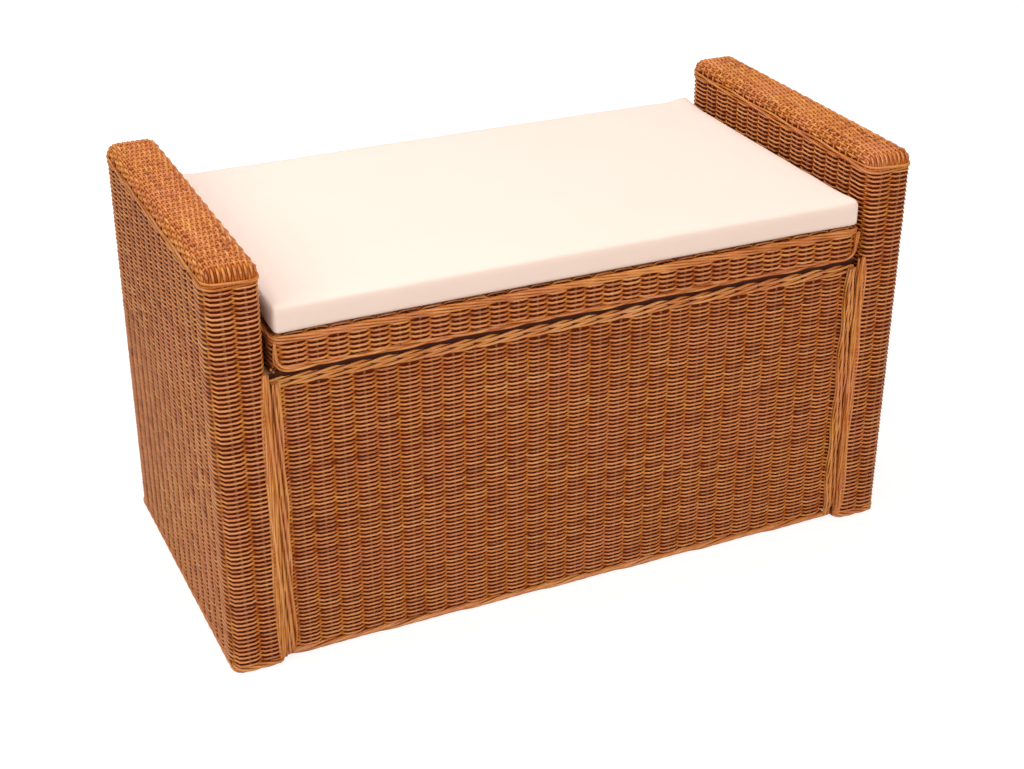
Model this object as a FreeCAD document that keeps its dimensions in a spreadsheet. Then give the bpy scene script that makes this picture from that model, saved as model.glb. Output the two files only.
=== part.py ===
import FreeCAD, Part

import os
import re

import Sketcher
from FreeCAD import Placement, Rotation, Vector

# A wicker storage bench: two full-height woven arms with a woven chest between them, a hinged
# woven lid and a loose seat cushion on the lid.  Everything hangs on a timber frame that the
# weave hides.  Millimetres, +Z up, the front faces -Y with +X to the right of someone in front
# of it, and the origin is the middle of the footprint on the floor.

doc = FreeCAD.newDocument("wicker_storage_bench")
sizes = doc.addObject("Spreadsheet::Sheet", "sizes")

# Each row: alias, value, what it measures.
driving = [
    ("overall_width", 1000, "outer face of one arm to the outer face of the other"),
    ("overall_depth", 490, "front to back of the arms"),
    ("arm_height", 575, "floor to the top of the arms"),
    ("arm_thickness", 75, "each arm, across"),
    ("arm_corner", 18, "radius of the arms' upright corners"),
    ("arm_cap_height", 20, "woven cap over the top of an arm"),
    ("arm_cap_round", 14, "radius along the upper edge of the cap"),
    ("arm_band_height", 8, "paired strands that bind the cap to the arm"),
    ("arm_border_height", 10, "plaited foot border of an arm"),
    ("strand_dia", 3, "weaver strands"),
    ("stake_dia", 4, "upright stakes that the weavers pass around"),
    ("stake_pitch", 30, "stake to stake"),
    ("stake_clearance", 0.05, "stake in its channel, on the radius"),
    ("panel_setback", 12, "chest panels behind the arms' faces"),
    ("panel_gap", 3, "top of the chest panels below the lid's seat"),
    ("panel_top_border", 17, "twisted border along the top of a panel"),
    ("panel_foot_border", 12, "plaited border along the floor"),
    ("panel_side_border", 13, "bundled border next to an arm"),
    ("trim_width", 11, "bundle of strands that covers an arm's corner, across"),
    ("trim_rise", 7, "top of that bundle above the lid's seat"),
    ("seat_gap", 0.3, "between a woven skin and what it lies on"),
    ("post_depth", 45, "arm posts, front to back"),
    ("arm_rail_height", 22, "rails between the arm posts"),
    ("arm_rail_foot", 2, "floor to the lower arm rail"),
    ("rail_depth", 25, "chest rails, front to back"),
    ("rail_height", 30, "chest rails, upright"),
    ("rail_screw_rise", 5, "screws in the ends of the chest rails above their middle"),
    ("upright_width", 30, "middle upright of a chest panel, across"),
    ("upright_depth", 18, "middle upright of a chest panel, front to back"),
    ("bearer_width", 22, "floor bearers, across"),
    ("bearer_height", 22, "floor bearers, upright"),
    ("floor_thickness", 6, "chest floor board"),
    ("floor_gap", 1, "floor board to the chest rails"),
    ("lid_seat", 418, "floor to the top of the chest rails, where the lid rests"),
    ("lid_rest_gap", 0.5, "closed lid above the chest rails"),
    ("lid_height", 54.5, "lid, upright"),
    ("lid_side_gap", 3.5, "lid to each arm"),
    ("lid_setback", 1, "lid behind the arms' front faces"),
    ("lid_corner", 15, "radius of the lid's upright corners"),
    ("lid_edge_round", 7, "radius along the lid's upper edge"),
    ("lid_border_height", 12, "bundled border along the lid's lower edge"),
    ("lid_rail_width", 34, "lid frame rails, across"),
    ("lid_board_thickness", 9, "board that closes the lid frame"),
    ("cushion_thickness", 40, "seat cushion"),
    ("cushion_side_gap", 2, "cushion to each arm"),
    ("cushion_rest_gap", 0.5, "cushion above the lid"),
    ("cushion_round", 12, "radius of the cushion's edges"),
    ("cushion_overhang", 12, "cushion past the back of the lid"),
    ("cover_thickness", 1, "cushion cover cloth"),
    ("screw_dia", 4.5, "frame screws, shank"),
    ("screw_head_dia", 9, "frame screws, head"),
    ("screw_head_height", 3, "frame screws, countersunk head"),
    ("screw_length", 55, "frame screws, overall"),
    ("screw_bite", 30, "frame screw in the piece that it pulls up"),
    ("screw_clearance", 0.1, "screw in its hole, on the radius"),
    ("board_screw_dia", 4, "lid board screws, shank"),
    ("board_screw_head_dia", 8, "lid board screws, head"),
    ("board_screw_head_height", 2.5, "lid board screws, countersunk head"),
    ("board_screw_length", 30, "lid board screws, overall"),
    ("hinge_spread", 250, "each hinge from the middle"),
    ("hinge_length", 60, "hinge leaf along its pin"),
    ("hinge_reach", 30, "hinge leaf from its pin to its far edge"),
    ("hinge_leaf", 1.5, "hinge leaf thickness"),
    ("hinge_standoff", 0.6, "knuckle behind the back panel"),
    ("knuckle_radius", 3.25, "hinge knuckle, outside"),
    ("knuckle_gap", 0.3, "between neighbouring knuckles, and round a turning one"),
    ("hinge_pin_dia", 3, "hinge pin"),
    ("hinge_pin_clearance", 0.05, "hinge pin in its bore, on the radius"),
    ("hinge_pin_head", 1, "head at each end of a hinge pin"),
    ("hinge_screw_dia", 3.5, "hinge screws, shank"),
    ("hinge_screw_head_dia", 6.5, "hinge screws, head"),
    ("hinge_screw_head_height", 2, "hinge screws, countersunk head"),
    ("hinge_screw_length", 16, "hinge screws, overall"),
    ("hinge_screw_line", 22, "hinge screws in front of the pin"),
    ("hinge_screw_spread", 20, "outer hinge screws from the middle one"),
]
for row, (alias, value, note) in enumerate(driving, start=1):
    sizes.set(f"A{row}", note)
    sizes.set(f"B{row}", str(value))
    sizes.setAlias(f"B{row}", alias)
doc.recompute()

# Places that follow from the driving sizes.  A name here stands for its expression.
places = {
    "half_width": "overall_width / 2",
    "half_depth": "overall_depth / 2",
    "weave_wall": "stake_dia + 2 * strand_dia",
    "chest_half": "half_width - arm_thickness",
    "post_inner": "chest_half + weave_wall + seat_gap",
    "post_outer": "half_width - weave_wall - seat_gap",
    "post_face": "half_depth - weave_wall - seat_gap",
    "post_back": "post_face - post_depth",
    "arm_frame_top": "arm_height - weave_wall - seat_gap",
    "arm_middle": "half_width - arm_thickness / 2",
    "cap_foot": "arm_height - arm_cap_height",
    "band_foot": "cap_foot - arm_band_height",
    "panel_face": "half_depth - panel_setback",
    "panel_inner": "panel_face - weave_wall",
    "panel_top": "lid_seat - panel_gap",
    "trim_height": "lid_seat + trim_rise",
    "panel_half": "chest_half - seat_gap",
    "weave_half": "panel_half - panel_side_border",
    "weave_top": "panel_top - panel_top_border",
    "rail_face": "panel_inner - seat_gap",
    "rail_back": "rail_face - rail_depth",
    "rail_foot": "panel_foot_border",
    "rail_low_top": "rail_foot + rail_height",
    "rail_high_foot": "lid_seat - rail_height",
    "floor_foot": "rail_foot + bearer_height",
    "lid_foot": "lid_seat + lid_rest_gap",
    "lid_top": "lid_foot + lid_height",
    "lid_half": "chest_half - lid_side_gap",
    "lid_front": "half_depth - lid_setback",
    "lid_back": "panel_face",
    "lid_border_top": "lid_foot + lid_border_height",
    "lid_skin_foot": "lid_top - weave_wall",
    "lid_board_top": "lid_skin_foot - seat_gap",
    "lid_board_foot": "lid_board_top - lid_board_thickness",
    "lid_frame_half": "lid_half - weave_wall - seat_gap",
    "lid_frame_front": "lid_front - weave_wall - seat_gap",
    "lid_frame_back": "lid_back - weave_wall - seat_gap",
    "pin_y": "panel_face + hinge_standoff + knuckle_radius",
    "pin_z": "lid_seat + lid_rest_gap / 2",
    "cushion_half": "chest_half - cushion_side_gap",
    "cushion_foot": "lid_top + cushion_rest_gap",
    "cushion_back": "lid_back + cushion_overhang",
}
aliases = {alias for alias, value, note in driving}
nodes = []


def bind(text):
    """Spell a formula out in cells of the sheet."""
    def spell(match):
        word = match.group()
        if word in places:
            return f"({bind(places[word])})"
        return f"sizes.{word}" if word in aliases else word
    return re.sub(r"[a-z_]+", spell, text)


def value(text):
    """The number that a formula stands for now."""
    return float(sizes.evalExpression(bind(text)))


def mirrored(span, side):
    """A span on the +X or +Y side, or its mirror image where side is -1."""
    low, high = span
    return (low, high) if side > 0 else (f"-({high})", f"-({low})")


def signed(text, side):
    return text if side > 0 else f"-({text})"


def node(piece, label):
    """Name a finished sub-part, which makes it a file of its own."""
    piece.Label = label
    nodes.append(piece)
    return piece


def box(label, x, y, z):
    block = doc.addObject("Part::Box", label)
    for size, axis, (low, high) in (("Length", "x", x), ("Width", "y", y), ("Height", "z", z)):
        block.setExpression(size, bind(f"({high}) - ({low})"))
        block.setExpression(f"Placement.Base.{axis}", bind(low))
    return block


def rod(label, radius, length, foot, turn=Rotation()):
    """A cylinder from foot, along +Z unless it is turned."""
    bar = doc.addObject("Part::Cylinder", label)
    bar.Placement = Placement(Vector(), turn)
    bar.setExpression("Radius", bind(radius))
    bar.setExpression("Height", bind(length))
    for axis, text in zip("xyz", foot):
        bar.setExpression(f"Placement.Base.{axis}", bind(text))
    return bar


def group(label, pieces):
    bundle = doc.addObject("Part::Compound", label)
    bundle.Links = pieces
    return bundle


def fused(label, pieces):
    union = doc.addObject("Part::MultiFuse", label)
    union.Shapes = pieces
    return union


def cut(label, base, tools):
    result = doc.addObject("Part::Cut", label)
    result.Base = base
    result.Tool = tools[0] if len(tools) == 1 else group(f"{label}_tools", tools)
    return result


def outline(body, label, x, y, z):
    """A level rectangular sketch at height z, each side held at its own distance."""
    sketch = body.newObject("Sketcher::SketchObject", label)
    plane = [item for item in body.Origin.OriginFeatures if item.Role == "XY_Plane"][0]
    sketch.AttachmentSupport = [(plane, "")]
    sketch.MapMode = "FlatFace"
    sketch.setExpression("AttachmentOffset.Base.z", bind(z))
    left, right, front, back = (value(text) for text in (*x, *y))
    corners = [Vector(left, front), Vector(right, front), Vector(right, back), Vector(left, back)]
    for start, end in zip(corners, corners[1:] + corners[:1]):
        sketch.addGeometry(Part.LineSegment(start, end), False)
    for line in range(4):
        sketch.addConstraint(Sketcher.Constraint("Coincident", line, 2, (line + 1) % 4, 1))
        direction = "Horizontal" if line % 2 == 0 else "Vertical"
        sketch.addConstraint(Sketcher.Constraint(direction, line))
    for kind, line, text in (("DistanceX", 0, x[0]), ("DistanceX", 1, x[1]),
                             ("DistanceY", 1, y[0]), ("DistanceY", 2, y[1])):
        index = sketch.addConstraint(Sketcher.Constraint(kind, -1, 1, line, 1, value(text)))
        sketch.setExpression(f"Constraints[{index}]", bind(text))
    return sketch


def padded(label, x, y, z, corner):
    """A body with a rectangular plan, rounded at its four upright corners."""
    body = doc.addObject("PartDesign::Body", label)
    pad = body.newObject("PartDesign::Pad", f"{label}_pad")
    pad.Profile = outline(body, f"{label}_outline", x, y, z[0])
    pad.setExpression("Length", bind(f"({z[1]}) - ({z[0]})"))
    doc.recompute()
    round_edges(body, pad, f"{label}_corners", corner, is_upright)
    return body


def is_upright(edge):
    start, end = (vertex.Point for vertex in edge.Vertexes)
    return abs(start.z - end.z) > 0.5 * edge.Length


def at_top(shape):
    top = shape.BoundBox.ZMax
    return lambda edge: edge.BoundBox.ZMin > top - 0.001


def round_edges(body, feature, label, radius, wanted):
    """Round the edges of a feature that wanted(edge) picks."""
    fillet = body.newObject("PartDesign::Fillet", label)
    edges = enumerate(feature.Shape.Edges, start=1)
    fillet.Base = (feature, [f"Edge{index}" for index, edge in edges if wanted(edge)])
    fillet.setExpression("Radius", bind(radius))
    doc.recompute()
    return fillet


def hollow(body, label, x, y, z, depth):
    """Pocket a rectangular plan into a body, upwards from height z."""
    before = body.Shape.Volume
    pocket = body.newObject("PartDesign::Pocket", label)
    pocket.Profile = outline(body, f"{label}_outline", x, y, z)
    pocket.Reversed = True
    pocket.setExpression("Length", bind(depth))
    doc.recompute()
    if body.Shape.Volume > before - 1:
        raise RuntimeError(f"{label} removed nothing")
    return pocket


def inset(span, text):
    low, high = span
    return (f"({low}) + {text}", f"({high}) - {text}")


def woven_ring(label, x, y, z, corner):
    """A woven wall that runs all the way round, open above and below."""
    body = padded(label, x, y, z, corner)
    hollow(body, f"{label}_inside", inset(x, "weave_wall"), inset(y, "weave_wall"), z[0],
           f"({z[1]}) - ({z[0]})")
    return body


def woven_cap(label, x, y, z, corner, edge):
    """A woven top: a plate with a rounded upper edge."""
    body = padded(label, x, y, z, corner)
    round_edges(body, body.Tip, f"{label}_edge", edge, at_top(body.Shape))
    return body


def evenly(low, high, pitch):
    """Formulas of evenly spaced places about the middle of a span."""
    count = int((value(high) - value(low)) / value(pitch)) + 1
    middle = f"(({low}) + ({high})) / 2"
    return [f"{middle} + {index - (count - 1) / 2} * {pitch}" for index in range(count)]


# Ways that a screw can point, as turns of +Z.
along_x = Rotation(Vector(0, 1, 0), 90)
against_x = Rotation(Vector(0, 1, 0), -90)
along_y = Rotation(Vector(1, 0, 0), -90)
against_y = Rotation(Vector(1, 0, 0), 90)
upwards = Rotation()
downwards = Rotation(Vector(1, 0, 0), 180)


def screw(label, kind, head, turn, clearance="0"):
    """A countersunk screw with the top of its head at head, or with a clearance its hole."""
    cone = doc.addObject("Part::Cone", f"{label}_head")
    cone.Placement = Placement(Vector(), turn)
    cone.setExpression("Radius1", bind(f"{kind}_head_dia / 2 + {clearance}"))
    cone.setExpression("Radius2", bind(f"{kind}_dia / 2 + {clearance}"))
    cone.setExpression("Height", bind(f"{kind}_head_height"))
    for axis, text in zip("xyz", head):
        cone.setExpression(f"Placement.Base.{axis}", bind(text))
    shank = rod(f"{label}_shank", f"{kind}_dia / 2 + {clearance}", f"{kind}_length + {clearance}",
                head, turn)
    return fused(label, [cone, shank])


frame_screws = []
holes = {}


def drill(hole, *pieces):
    """Note a hole for the pieces that it goes through."""
    for piece in pieces:
        holes.setdefault(piece, []).append(hole)


def fasten(name, joint, axis, turn, run_in, pieces):
    """Drive a frame screw across a joint, and drill the two pieces that it holds together.

    joint is where its line crosses the joint, axis is 0 for X or 1 for Y, and run_in is the
    thickness of the first piece.  The head lies in a bore in that piece, or flush with its face
    where the piece is thinner than the head is meant to be deep.
    """
    forward = int(turn.multVec(Vector(0, 0, 1))[axis])
    sink = f"min({run_in}; screw_length - screw_bite)"
    head = list(joint)
    head[axis] = f"({joint[axis]}) - ({forward}) * {sink}"
    frame_screws.append(screw(name, "screw", head, turn))
    drill(screw(f"{name}_hole", "screw", head, turn, "screw_clearance"), *pieces)
    depth = f"({run_in}) - {sink}"
    if value(depth) > 0:
        mouth = list(joint)
        mouth[axis] = f"({joint[axis]}) - ({forward}) * ({run_in})"
        drill(rod(f"{name}_bore", "screw_head_dia / 2 + screw_clearance", depth, mouth, turn),
              pieces[0])


def timber(label, x, y, z):
    """A frame piece with every hole that was noted for it."""
    stock = box(f"{label}_stock", x, y, z)
    drilled = holes.get(label)
    return node(cut(f"{label}_drilled", stock, drilled) if drilled else stock, label)


sides = (("left", -1), ("right", 1))
faces = (("front", -1), ("back", 1))
whole_depth = ("-half_depth", "half_depth")
rail_levels = {"bottom": "rail_foot + rail_height / 2", "top": "lid_seat - rail_height / 2"}
arm_rail_levels = {
    "bottom": "arm_rail_foot + arm_rail_height / 2",
    "top": "arm_frame_top - arm_rail_height / 2",
}
rail_line = "(rail_face + rail_back) / 2"

# Every screw of the frame is placed first, because each one drills two pieces.
for side_name, side in sides:
    into_chest = against_x if side > 0 else along_x
    for face_name, face in faces:
        into_arm = against_y if face > 0 else along_y
        post = f"{side_name}_arm_{face_name}_post"
        for level, height in arm_rail_levels.items():
            fasten(f"{side_name}_{face_name}_{level}_arm_screw",
                   [signed("arm_middle", side), signed("post_back", face), height],
                   1, into_arm, "post_depth", [post, f"{side_name}_arm_{level}_rail"])
        for level, height in rail_levels.items():
            fasten(f"{side_name}_{face_name}_{level}_rail_screw",
                   [signed("post_inner", side), signed(rail_line, face),
                    f"{height} + rail_screw_rise"],
                   0, into_chest, "post_outer - post_inner", [post, f"{face_name}_{level}_rail"])

bearers = {
    "left": "-(panel_half - bearer_width / 2)",
    "middle": "0",
    "right": "panel_half - bearer_width / 2",
}
for bearer_name, middle in bearers.items():
    for face_name, face in faces:
        fasten(f"{bearer_name}_{face_name}_bearer_screw",
               [middle, signed("rail_back", face), "rail_foot + bearer_height / 2"],
               1, against_y if face > 0 else along_y, "rail_depth",
               [f"{face_name}_bottom_rail", f"floor_{bearer_name}_bearer"])

# Hinges.  The pins run along X behind the back panel, level with the crack under the lid.
hinge_body_screws = []
hinge_lid_screws = []
hinge_pins = []
lid_notches = []
rail_recesses = []
lid_recesses = []


def hinge_leaf(label, middle, z, knuckles):
    """A leaf with its share of the five knuckles, bored for the pin and drilled for screws."""
    start = f"{middle} - hinge_length / 2"
    free_edge = "pin_y - hinge_reach"
    inner_edge = "pin_y - knuckle_radius - knuckle_gap"
    parts = [box(f"{label}_plate", (start, f"{middle} + hinge_length / 2"),
                 (free_edge, inner_edge), z)]
    for index in knuckles:
        low = f"{start} + {index} * hinge_length / 5 + knuckle_gap / 2"
        high = f"{start} + {index + 1} * hinge_length / 5 - knuckle_gap / 2"
        parts.append(box(f"{label}_tongue_{index}", (low, high), (f"{inner_edge} - 1", "pin_y"), z))
        parts.append(rod(f"{label}_knuckle_{index}", "knuckle_radius", f"({high}) - ({low})",
                         [low, "pin_y", "pin_z"], along_x))
    bore = rod(f"{label}_bore", "hinge_pin_dia / 2 + hinge_pin_clearance", "hinge_length",
               [start, "pin_y", "pin_z"], along_x)
    return fused(f"{label}_solid", parts), bore


for hinge_name, side in sides:
    middle = signed("hinge_spread", side)
    body_label = f"{hinge_name}_hinge_body_leaf"
    lid_label = f"{hinge_name}_hinge_lid_leaf"
    body_leaf, body_bore = hinge_leaf(body_label, middle, ("lid_seat - hinge_leaf", "lid_seat"),
                                      (0, 2, 4))
    lid_leaf, lid_bore = hinge_leaf(lid_label, middle, ("lid_foot", "lid_foot + hinge_leaf"),
                                    (1, 3))
    body_cuts = [body_bore]
    lid_cuts = [lid_bore]
    for index in (-1, 0, 1):
        spot = [f"{middle} + {index} * hinge_screw_spread", "pin_y - hinge_screw_line"]
        for cuts, screws, drilled, height, turn, where in (
                (body_cuts, hinge_body_screws, "back_top_rail", "lid_seat", downwards, "body"),
                (lid_cuts, hinge_lid_screws, "lid_back_rail", "lid_foot", upwards, "lid")):
            name = f"{hinge_name}_{where}_hinge_screw_{index + 2}"
            screws.append(screw(name, "hinge_screw", spot + [height], turn))
            hole = screw(f"{name}_hole", "hinge_screw", spot + [height], turn, "screw_clearance")
            cuts.append(hole)
            drill(hole, drilled)
    node(cut(f"{body_label}_drilled", body_leaf, body_cuts), body_label)
    node(cut(f"{lid_label}_drilled", lid_leaf, lid_cuts), lid_label)

    pin_low = f"{middle} - hinge_length / 2"
    stem = rod(f"{hinge_name}_pin_stem", "hinge_pin_dia / 2", "hinge_length + 2 * hinge_pin_head",
               [f"{pin_low} - hinge_pin_head", "pin_y", "pin_z"], along_x)
    caps = [rod(f"{hinge_name}_pin_cap_{end}", "knuckle_radius - knuckle_gap", "hinge_pin_head",
                [start, "pin_y", "pin_z"], along_x)
            for end, start in ((1, f"{pin_low} - hinge_pin_head"),
                               (2, f"{middle} + hinge_length / 2"))]
    hinge_pins.append(fused(f"{hinge_name}_hinge_pin", [stem] + caps))

    recess_x = (f"{pin_low} - knuckle_gap", f"{middle} + hinge_length / 2 + knuckle_gap")
    recess_y = ("pin_y - hinge_reach - knuckle_gap", "pin_y")
    drill(box(f"{hinge_name}_rail_recess", recess_x, recess_y,
              ("lid_seat - hinge_leaf", "lid_seat + 1")), "back_top_rail")
    drill(box(f"{hinge_name}_lid_recess", recess_x, recess_y,
              ("lid_foot - 1", "lid_foot + hinge_leaf")), "lid_back_rail")
    lid_notches.append(
        box(f"{hinge_name}_border_notch", recess_x, recess_y,
            ("lid_foot - 1", "lid_foot + hinge_leaf + knuckle_gap")))

node(group("hinge_pins_group", hinge_pins), "hinge_pins")
node(group("hinge_body_screws_group", hinge_body_screws), "hinge_body_screws")
node(group("hinge_lid_screws_group", hinge_lid_screws), "hinge_lid_screws")

# Lid board screws, driven down through the board into the lid's rails.
board_screws = []
end_rail_x = "(lid_frame_half - lid_rail_width / 2)"
long_rails = (("lid_front_rail", "-(lid_frame_front - lid_rail_width / 2)"),
              ("lid_back_rail", "lid_frame_back - lid_rail_width / 2"))
board_spots = [(rail, f"{step} * {end_rail_x} / 2", y)
               for step in (-2, -1, 0, 1, 2) for rail, y in long_rails]
board_spots += [("lid_left_rail", f"-{end_rail_x}", "0"), ("lid_middle_rail", "0", "0"),
                ("lid_right_rail", end_rail_x, "0")]
for index, (rail, x, y) in enumerate(board_spots, start=1):
    head = [x, y, "lid_board_top"]
    board_screws.append(screw(f"board_screw_{index}", "board_screw", head, downwards))
    drill(screw(f"board_screw_{index}_hole", "board_screw", head, downwards, "screw_clearance"),
          "lid_board", rail)

# The arms.
for side_name, side in sides:
    arm = f"{side_name}_arm"
    across = mirrored(("chest_half", "half_width"), side)
    inside = mirrored(("post_inner", "post_outer"), side)
    for face_name, face in faces:
        timber(f"{arm}_{face_name}_post", inside, mirrored(("post_back", "post_face"), face),
               ("0", "arm_frame_top"))
    for level, height in arm_rail_levels.items():
        timber(f"{arm}_{level}_rail", inside, ("-(post_back)", "post_back"),
               (f"{height} - arm_rail_height / 2", f"{height} + arm_rail_height / 2"))

    # Stakes stand in channels in the middle of the woven wall, clear of the chest rails.
    stakes = []
    channels = []
    inner_wall = signed("chest_half + weave_wall / 2", side)
    outer_wall = signed("half_width - weave_wall / 2", side)
    spots = [(outer_wall, y) for y in evenly("-(post_face - 12)", "post_face - 12", "stake_pitch")]
    spots += [(inner_wall, y) for y in evenly("-(rail_back - 6)", "rail_back - 6", "stake_pitch")]
    spots += [(signed(f"arm_middle + {step} * stake_pitch / 2", side),
               signed("half_depth - weave_wall / 2", face))
              for step in (-1, 1) for face_name, face in faces]
    for index, (x, y) in enumerate(spots, start=1):
        foot = [x, y, "arm_border_height"]
        stakes.append(rod(f"{arm}_stake_{index}", "stake_dia / 2", "band_foot - arm_border_height",
                          foot))
        channels.append(rod(f"{arm}_channel_{index}", "stake_dia / 2 + stake_clearance",
                            "band_foot - arm_border_height", foot))
    node(group(f"{arm}_stakes_group", stakes), f"{arm}_stakes")

    passages = [box(f"{arm}_{face_name}_{level}_passage",
                    mirrored(("chest_half - 1", "post_inner"), side),
                    inset(mirrored(("rail_back", "rail_face"), face), "(-seat_gap)"),
                    (f"{height} - rail_height / 2 - seat_gap", f"{height} + rail_height / 2 + seat_gap"))
                for face_name, face in faces for level, height in rail_levels.items()]
    tube = woven_ring(f"{arm}_tube", across, whole_depth, ("arm_border_height", "band_foot"),
                      "arm_corner")
    node(cut(f"{arm}_weave_cut", tube, channels + passages), f"{arm}_weave")
    node(woven_ring(f"{arm}_band", across, whole_depth, ("band_foot", "cap_foot"), "arm_corner"),
         f"{arm}_top_band")
    node(woven_ring(f"{arm}_foot", across, whole_depth, ("0", "arm_border_height"), "arm_corner"),
         f"{arm}_base_border")
    cap = woven_cap(f"{arm}_cap", across, whole_depth, ("cap_foot", "arm_height"), "arm_corner",
                    "arm_cap_round")
    hollow(cap, f"{arm}_cap_inside", inset(across, "weave_wall"), inset(whole_depth, "weave_wall"),
           "cap_foot", "arm_cap_height - weave_wall")
    node(cap, f"{arm}_top_weave")

    for face_name, face in faces:
        strip = box(f"{arm}_{face_name}_strip", mirrored(("chest_half", "chest_half + trim_width"), side),
                    mirrored(("panel_face + seat_gap", "half_depth"), face), ("0", "trim_height"))
        corner = rod(f"{arm}_{face_name}_corner", "arm_corner + seat_gap", "trim_height + 2",
                     [signed("chest_half + arm_corner", side),
                      signed("half_depth - arm_corner", face), "-1"])
        node(cut(f"{arm}_{face_name}_trim_cut", strip, [corner]), f"{arm}_{face_name}_trim")

# The chest: rails between the arm posts, a woven panel in its border outside them.
for face_name, face in faces:
    panel_y = mirrored(("panel_inner", "panel_face"), face)
    for level, height in rail_levels.items():
        timber(f"{face_name}_{level}_rail", ("-(post_inner)", "post_inner"),
               mirrored(("rail_back", "rail_face"), face),
               (f"{height} - rail_height / 2", f"{height} + rail_height / 2"))
    timber(f"{face_name}_upright", ("-upright_width / 2", "upright_width / 2"),
           mirrored(("rail_face - upright_depth", "rail_face"), face),
           ("rail_low_top", "rail_high_foot"))

    stakes = []
    channels = []
    for index, x in enumerate(evenly("-(weave_half - 8)", "weave_half - 8", "stake_pitch"), start=1):
        foot = [x, signed("panel_face - weave_wall / 2", face), "panel_foot_border"]
        stakes.append(rod(f"{face_name}_stake_{index}", "stake_dia / 2",
                          "weave_top - panel_foot_border", foot))
        channels.append(rod(f"{face_name}_channel_{index}", "stake_dia / 2 + stake_clearance",
                            "weave_top - panel_foot_border", foot))
    node(group(f"{face_name}_stakes_group", stakes), f"{face_name}_stakes")
    sheet = box(f"{face_name}_sheet", ("-weave_half", "weave_half"), panel_y,
                ("panel_foot_border", "weave_top"))
    node(cut(f"{face_name}_weave_cut", sheet, channels), f"{face_name}_weave")
    surround = box(f"{face_name}_surround", ("-panel_half", "panel_half"), panel_y, ("0", "panel_top"))
    window = box(f"{face_name}_window", ("-weave_half", "weave_half"), inset(panel_y, "(-1)"),
                 ("panel_foot_border", "weave_top"))
    node(cut(f"{face_name}_border_cut", surround, [window]), f"{face_name}_border")

# The floor board lies on three bearers between the bottom rails.
for bearer_name, middle in bearers.items():
    timber(f"floor_{bearer_name}_bearer",
           (f"{middle} - bearer_width / 2", f"{middle} + bearer_width / 2"),
           ("-(rail_back)", "rail_back"), ("rail_foot", "floor_foot"))
timber("floor_panel", ("-panel_half", "panel_half"), ("-(rail_back - floor_gap)", "rail_back - floor_gap"),
       ("floor_foot", "floor_foot + floor_thickness"))
node(group("frame_screws_group", frame_screws), "frame_screws")

# The lid: a timber frame under a board, inside a woven skin.
lid_x = ("-lid_half", "lid_half")
lid_y = ("-lid_front", "lid_back")
lid_rail_z = ("lid_foot", "lid_board_foot")
timber("lid_front_rail", ("-lid_frame_half", "lid_frame_half"),
       ("-lid_frame_front", "-(lid_frame_front - lid_rail_width)"), lid_rail_z)
timber("lid_back_rail", ("-lid_frame_half", "lid_frame_half"),
       ("lid_frame_back - lid_rail_width", "lid_frame_back"), lid_rail_z)
between = ("-(lid_frame_front - lid_rail_width)", "lid_frame_back - lid_rail_width")
for side_name, side in sides:
    timber(f"lid_{side_name}_rail",
           mirrored(("lid_frame_half - lid_rail_width", "lid_frame_half"), side), between, lid_rail_z)
timber("lid_middle_rail", ("-lid_rail_width / 2", "lid_rail_width / 2"), between, lid_rail_z)
timber("lid_board", ("-lid_frame_half", "lid_frame_half"), ("-lid_frame_front", "lid_frame_back"),
       ("lid_board_foot", "lid_board_top"))
node(group("lid_screws_group", board_screws), "lid_screws")
node(woven_cap("lid_top_plate", lid_x, lid_y, ("lid_skin_foot", "lid_top"), "lid_corner",
               "lid_edge_round"), "lid_top_weave")
node(woven_ring("lid_skirt", lid_x, lid_y, ("lid_border_top", "lid_skin_foot"), "lid_corner"),
     "lid_side_weave")
lid_edging = woven_ring("lid_edging", lid_x, lid_y, ("lid_foot", "lid_border_top"), "lid_corner")
node(cut("lid_border_cut", lid_edging, lid_notches), "lid_border")


def cushion_block(label, reduction):
    """The cushion's outer shape, smaller all round by a reduction."""
    body = doc.addObject("PartDesign::Body", label)
    x = inset(("-cushion_half", "cushion_half"), f"({reduction})")
    y = inset(("-lid_front", "cushion_back"), f"({reduction})")
    pad = body.newObject("PartDesign::Pad", f"{label}_pad")
    pad.Profile = outline(body, f"{label}_outline", x, y, f"cushion_foot + {reduction}")
    pad.setExpression("Length", bind(f"cushion_thickness - 2 * ({reduction})"))
    doc.recompute()
    round_edges(body, pad, f"{label}_round", f"cushion_round - ({reduction})", lambda edge: True)
    return body


# The cushion: a foam core in a sewn cover.
cover = cut("cushion_cover_cut", cushion_block("cover_outside", "0"),
            [cushion_block("cover_inside", "cover_thickness")])
node(cover, "cushion_cover")
node(cushion_block("foam_block", "cover_thickness + seat_gap"), "cushion_foam")

doc.recompute()
for item in doc.Objects:
    if "Invalid" in item.State or "Error" in item.State:
        raise RuntimeError(f"{item.Name} failed: {item.State}")

os.makedirs("parts", exist_ok=True)
for piece in nodes:
    if piece.Shape.isNull() or not piece.Shape.isValid():
        raise RuntimeError(f"{piece.Label} has no valid shape")
    piece.Shape.exportStep(f"parts/{piece.Label}.step")
print(f"{len(nodes)} sub-parts")
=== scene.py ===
import math

import bmesh
import bpy
from mathutils import Matrix, Vector, noise


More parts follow.
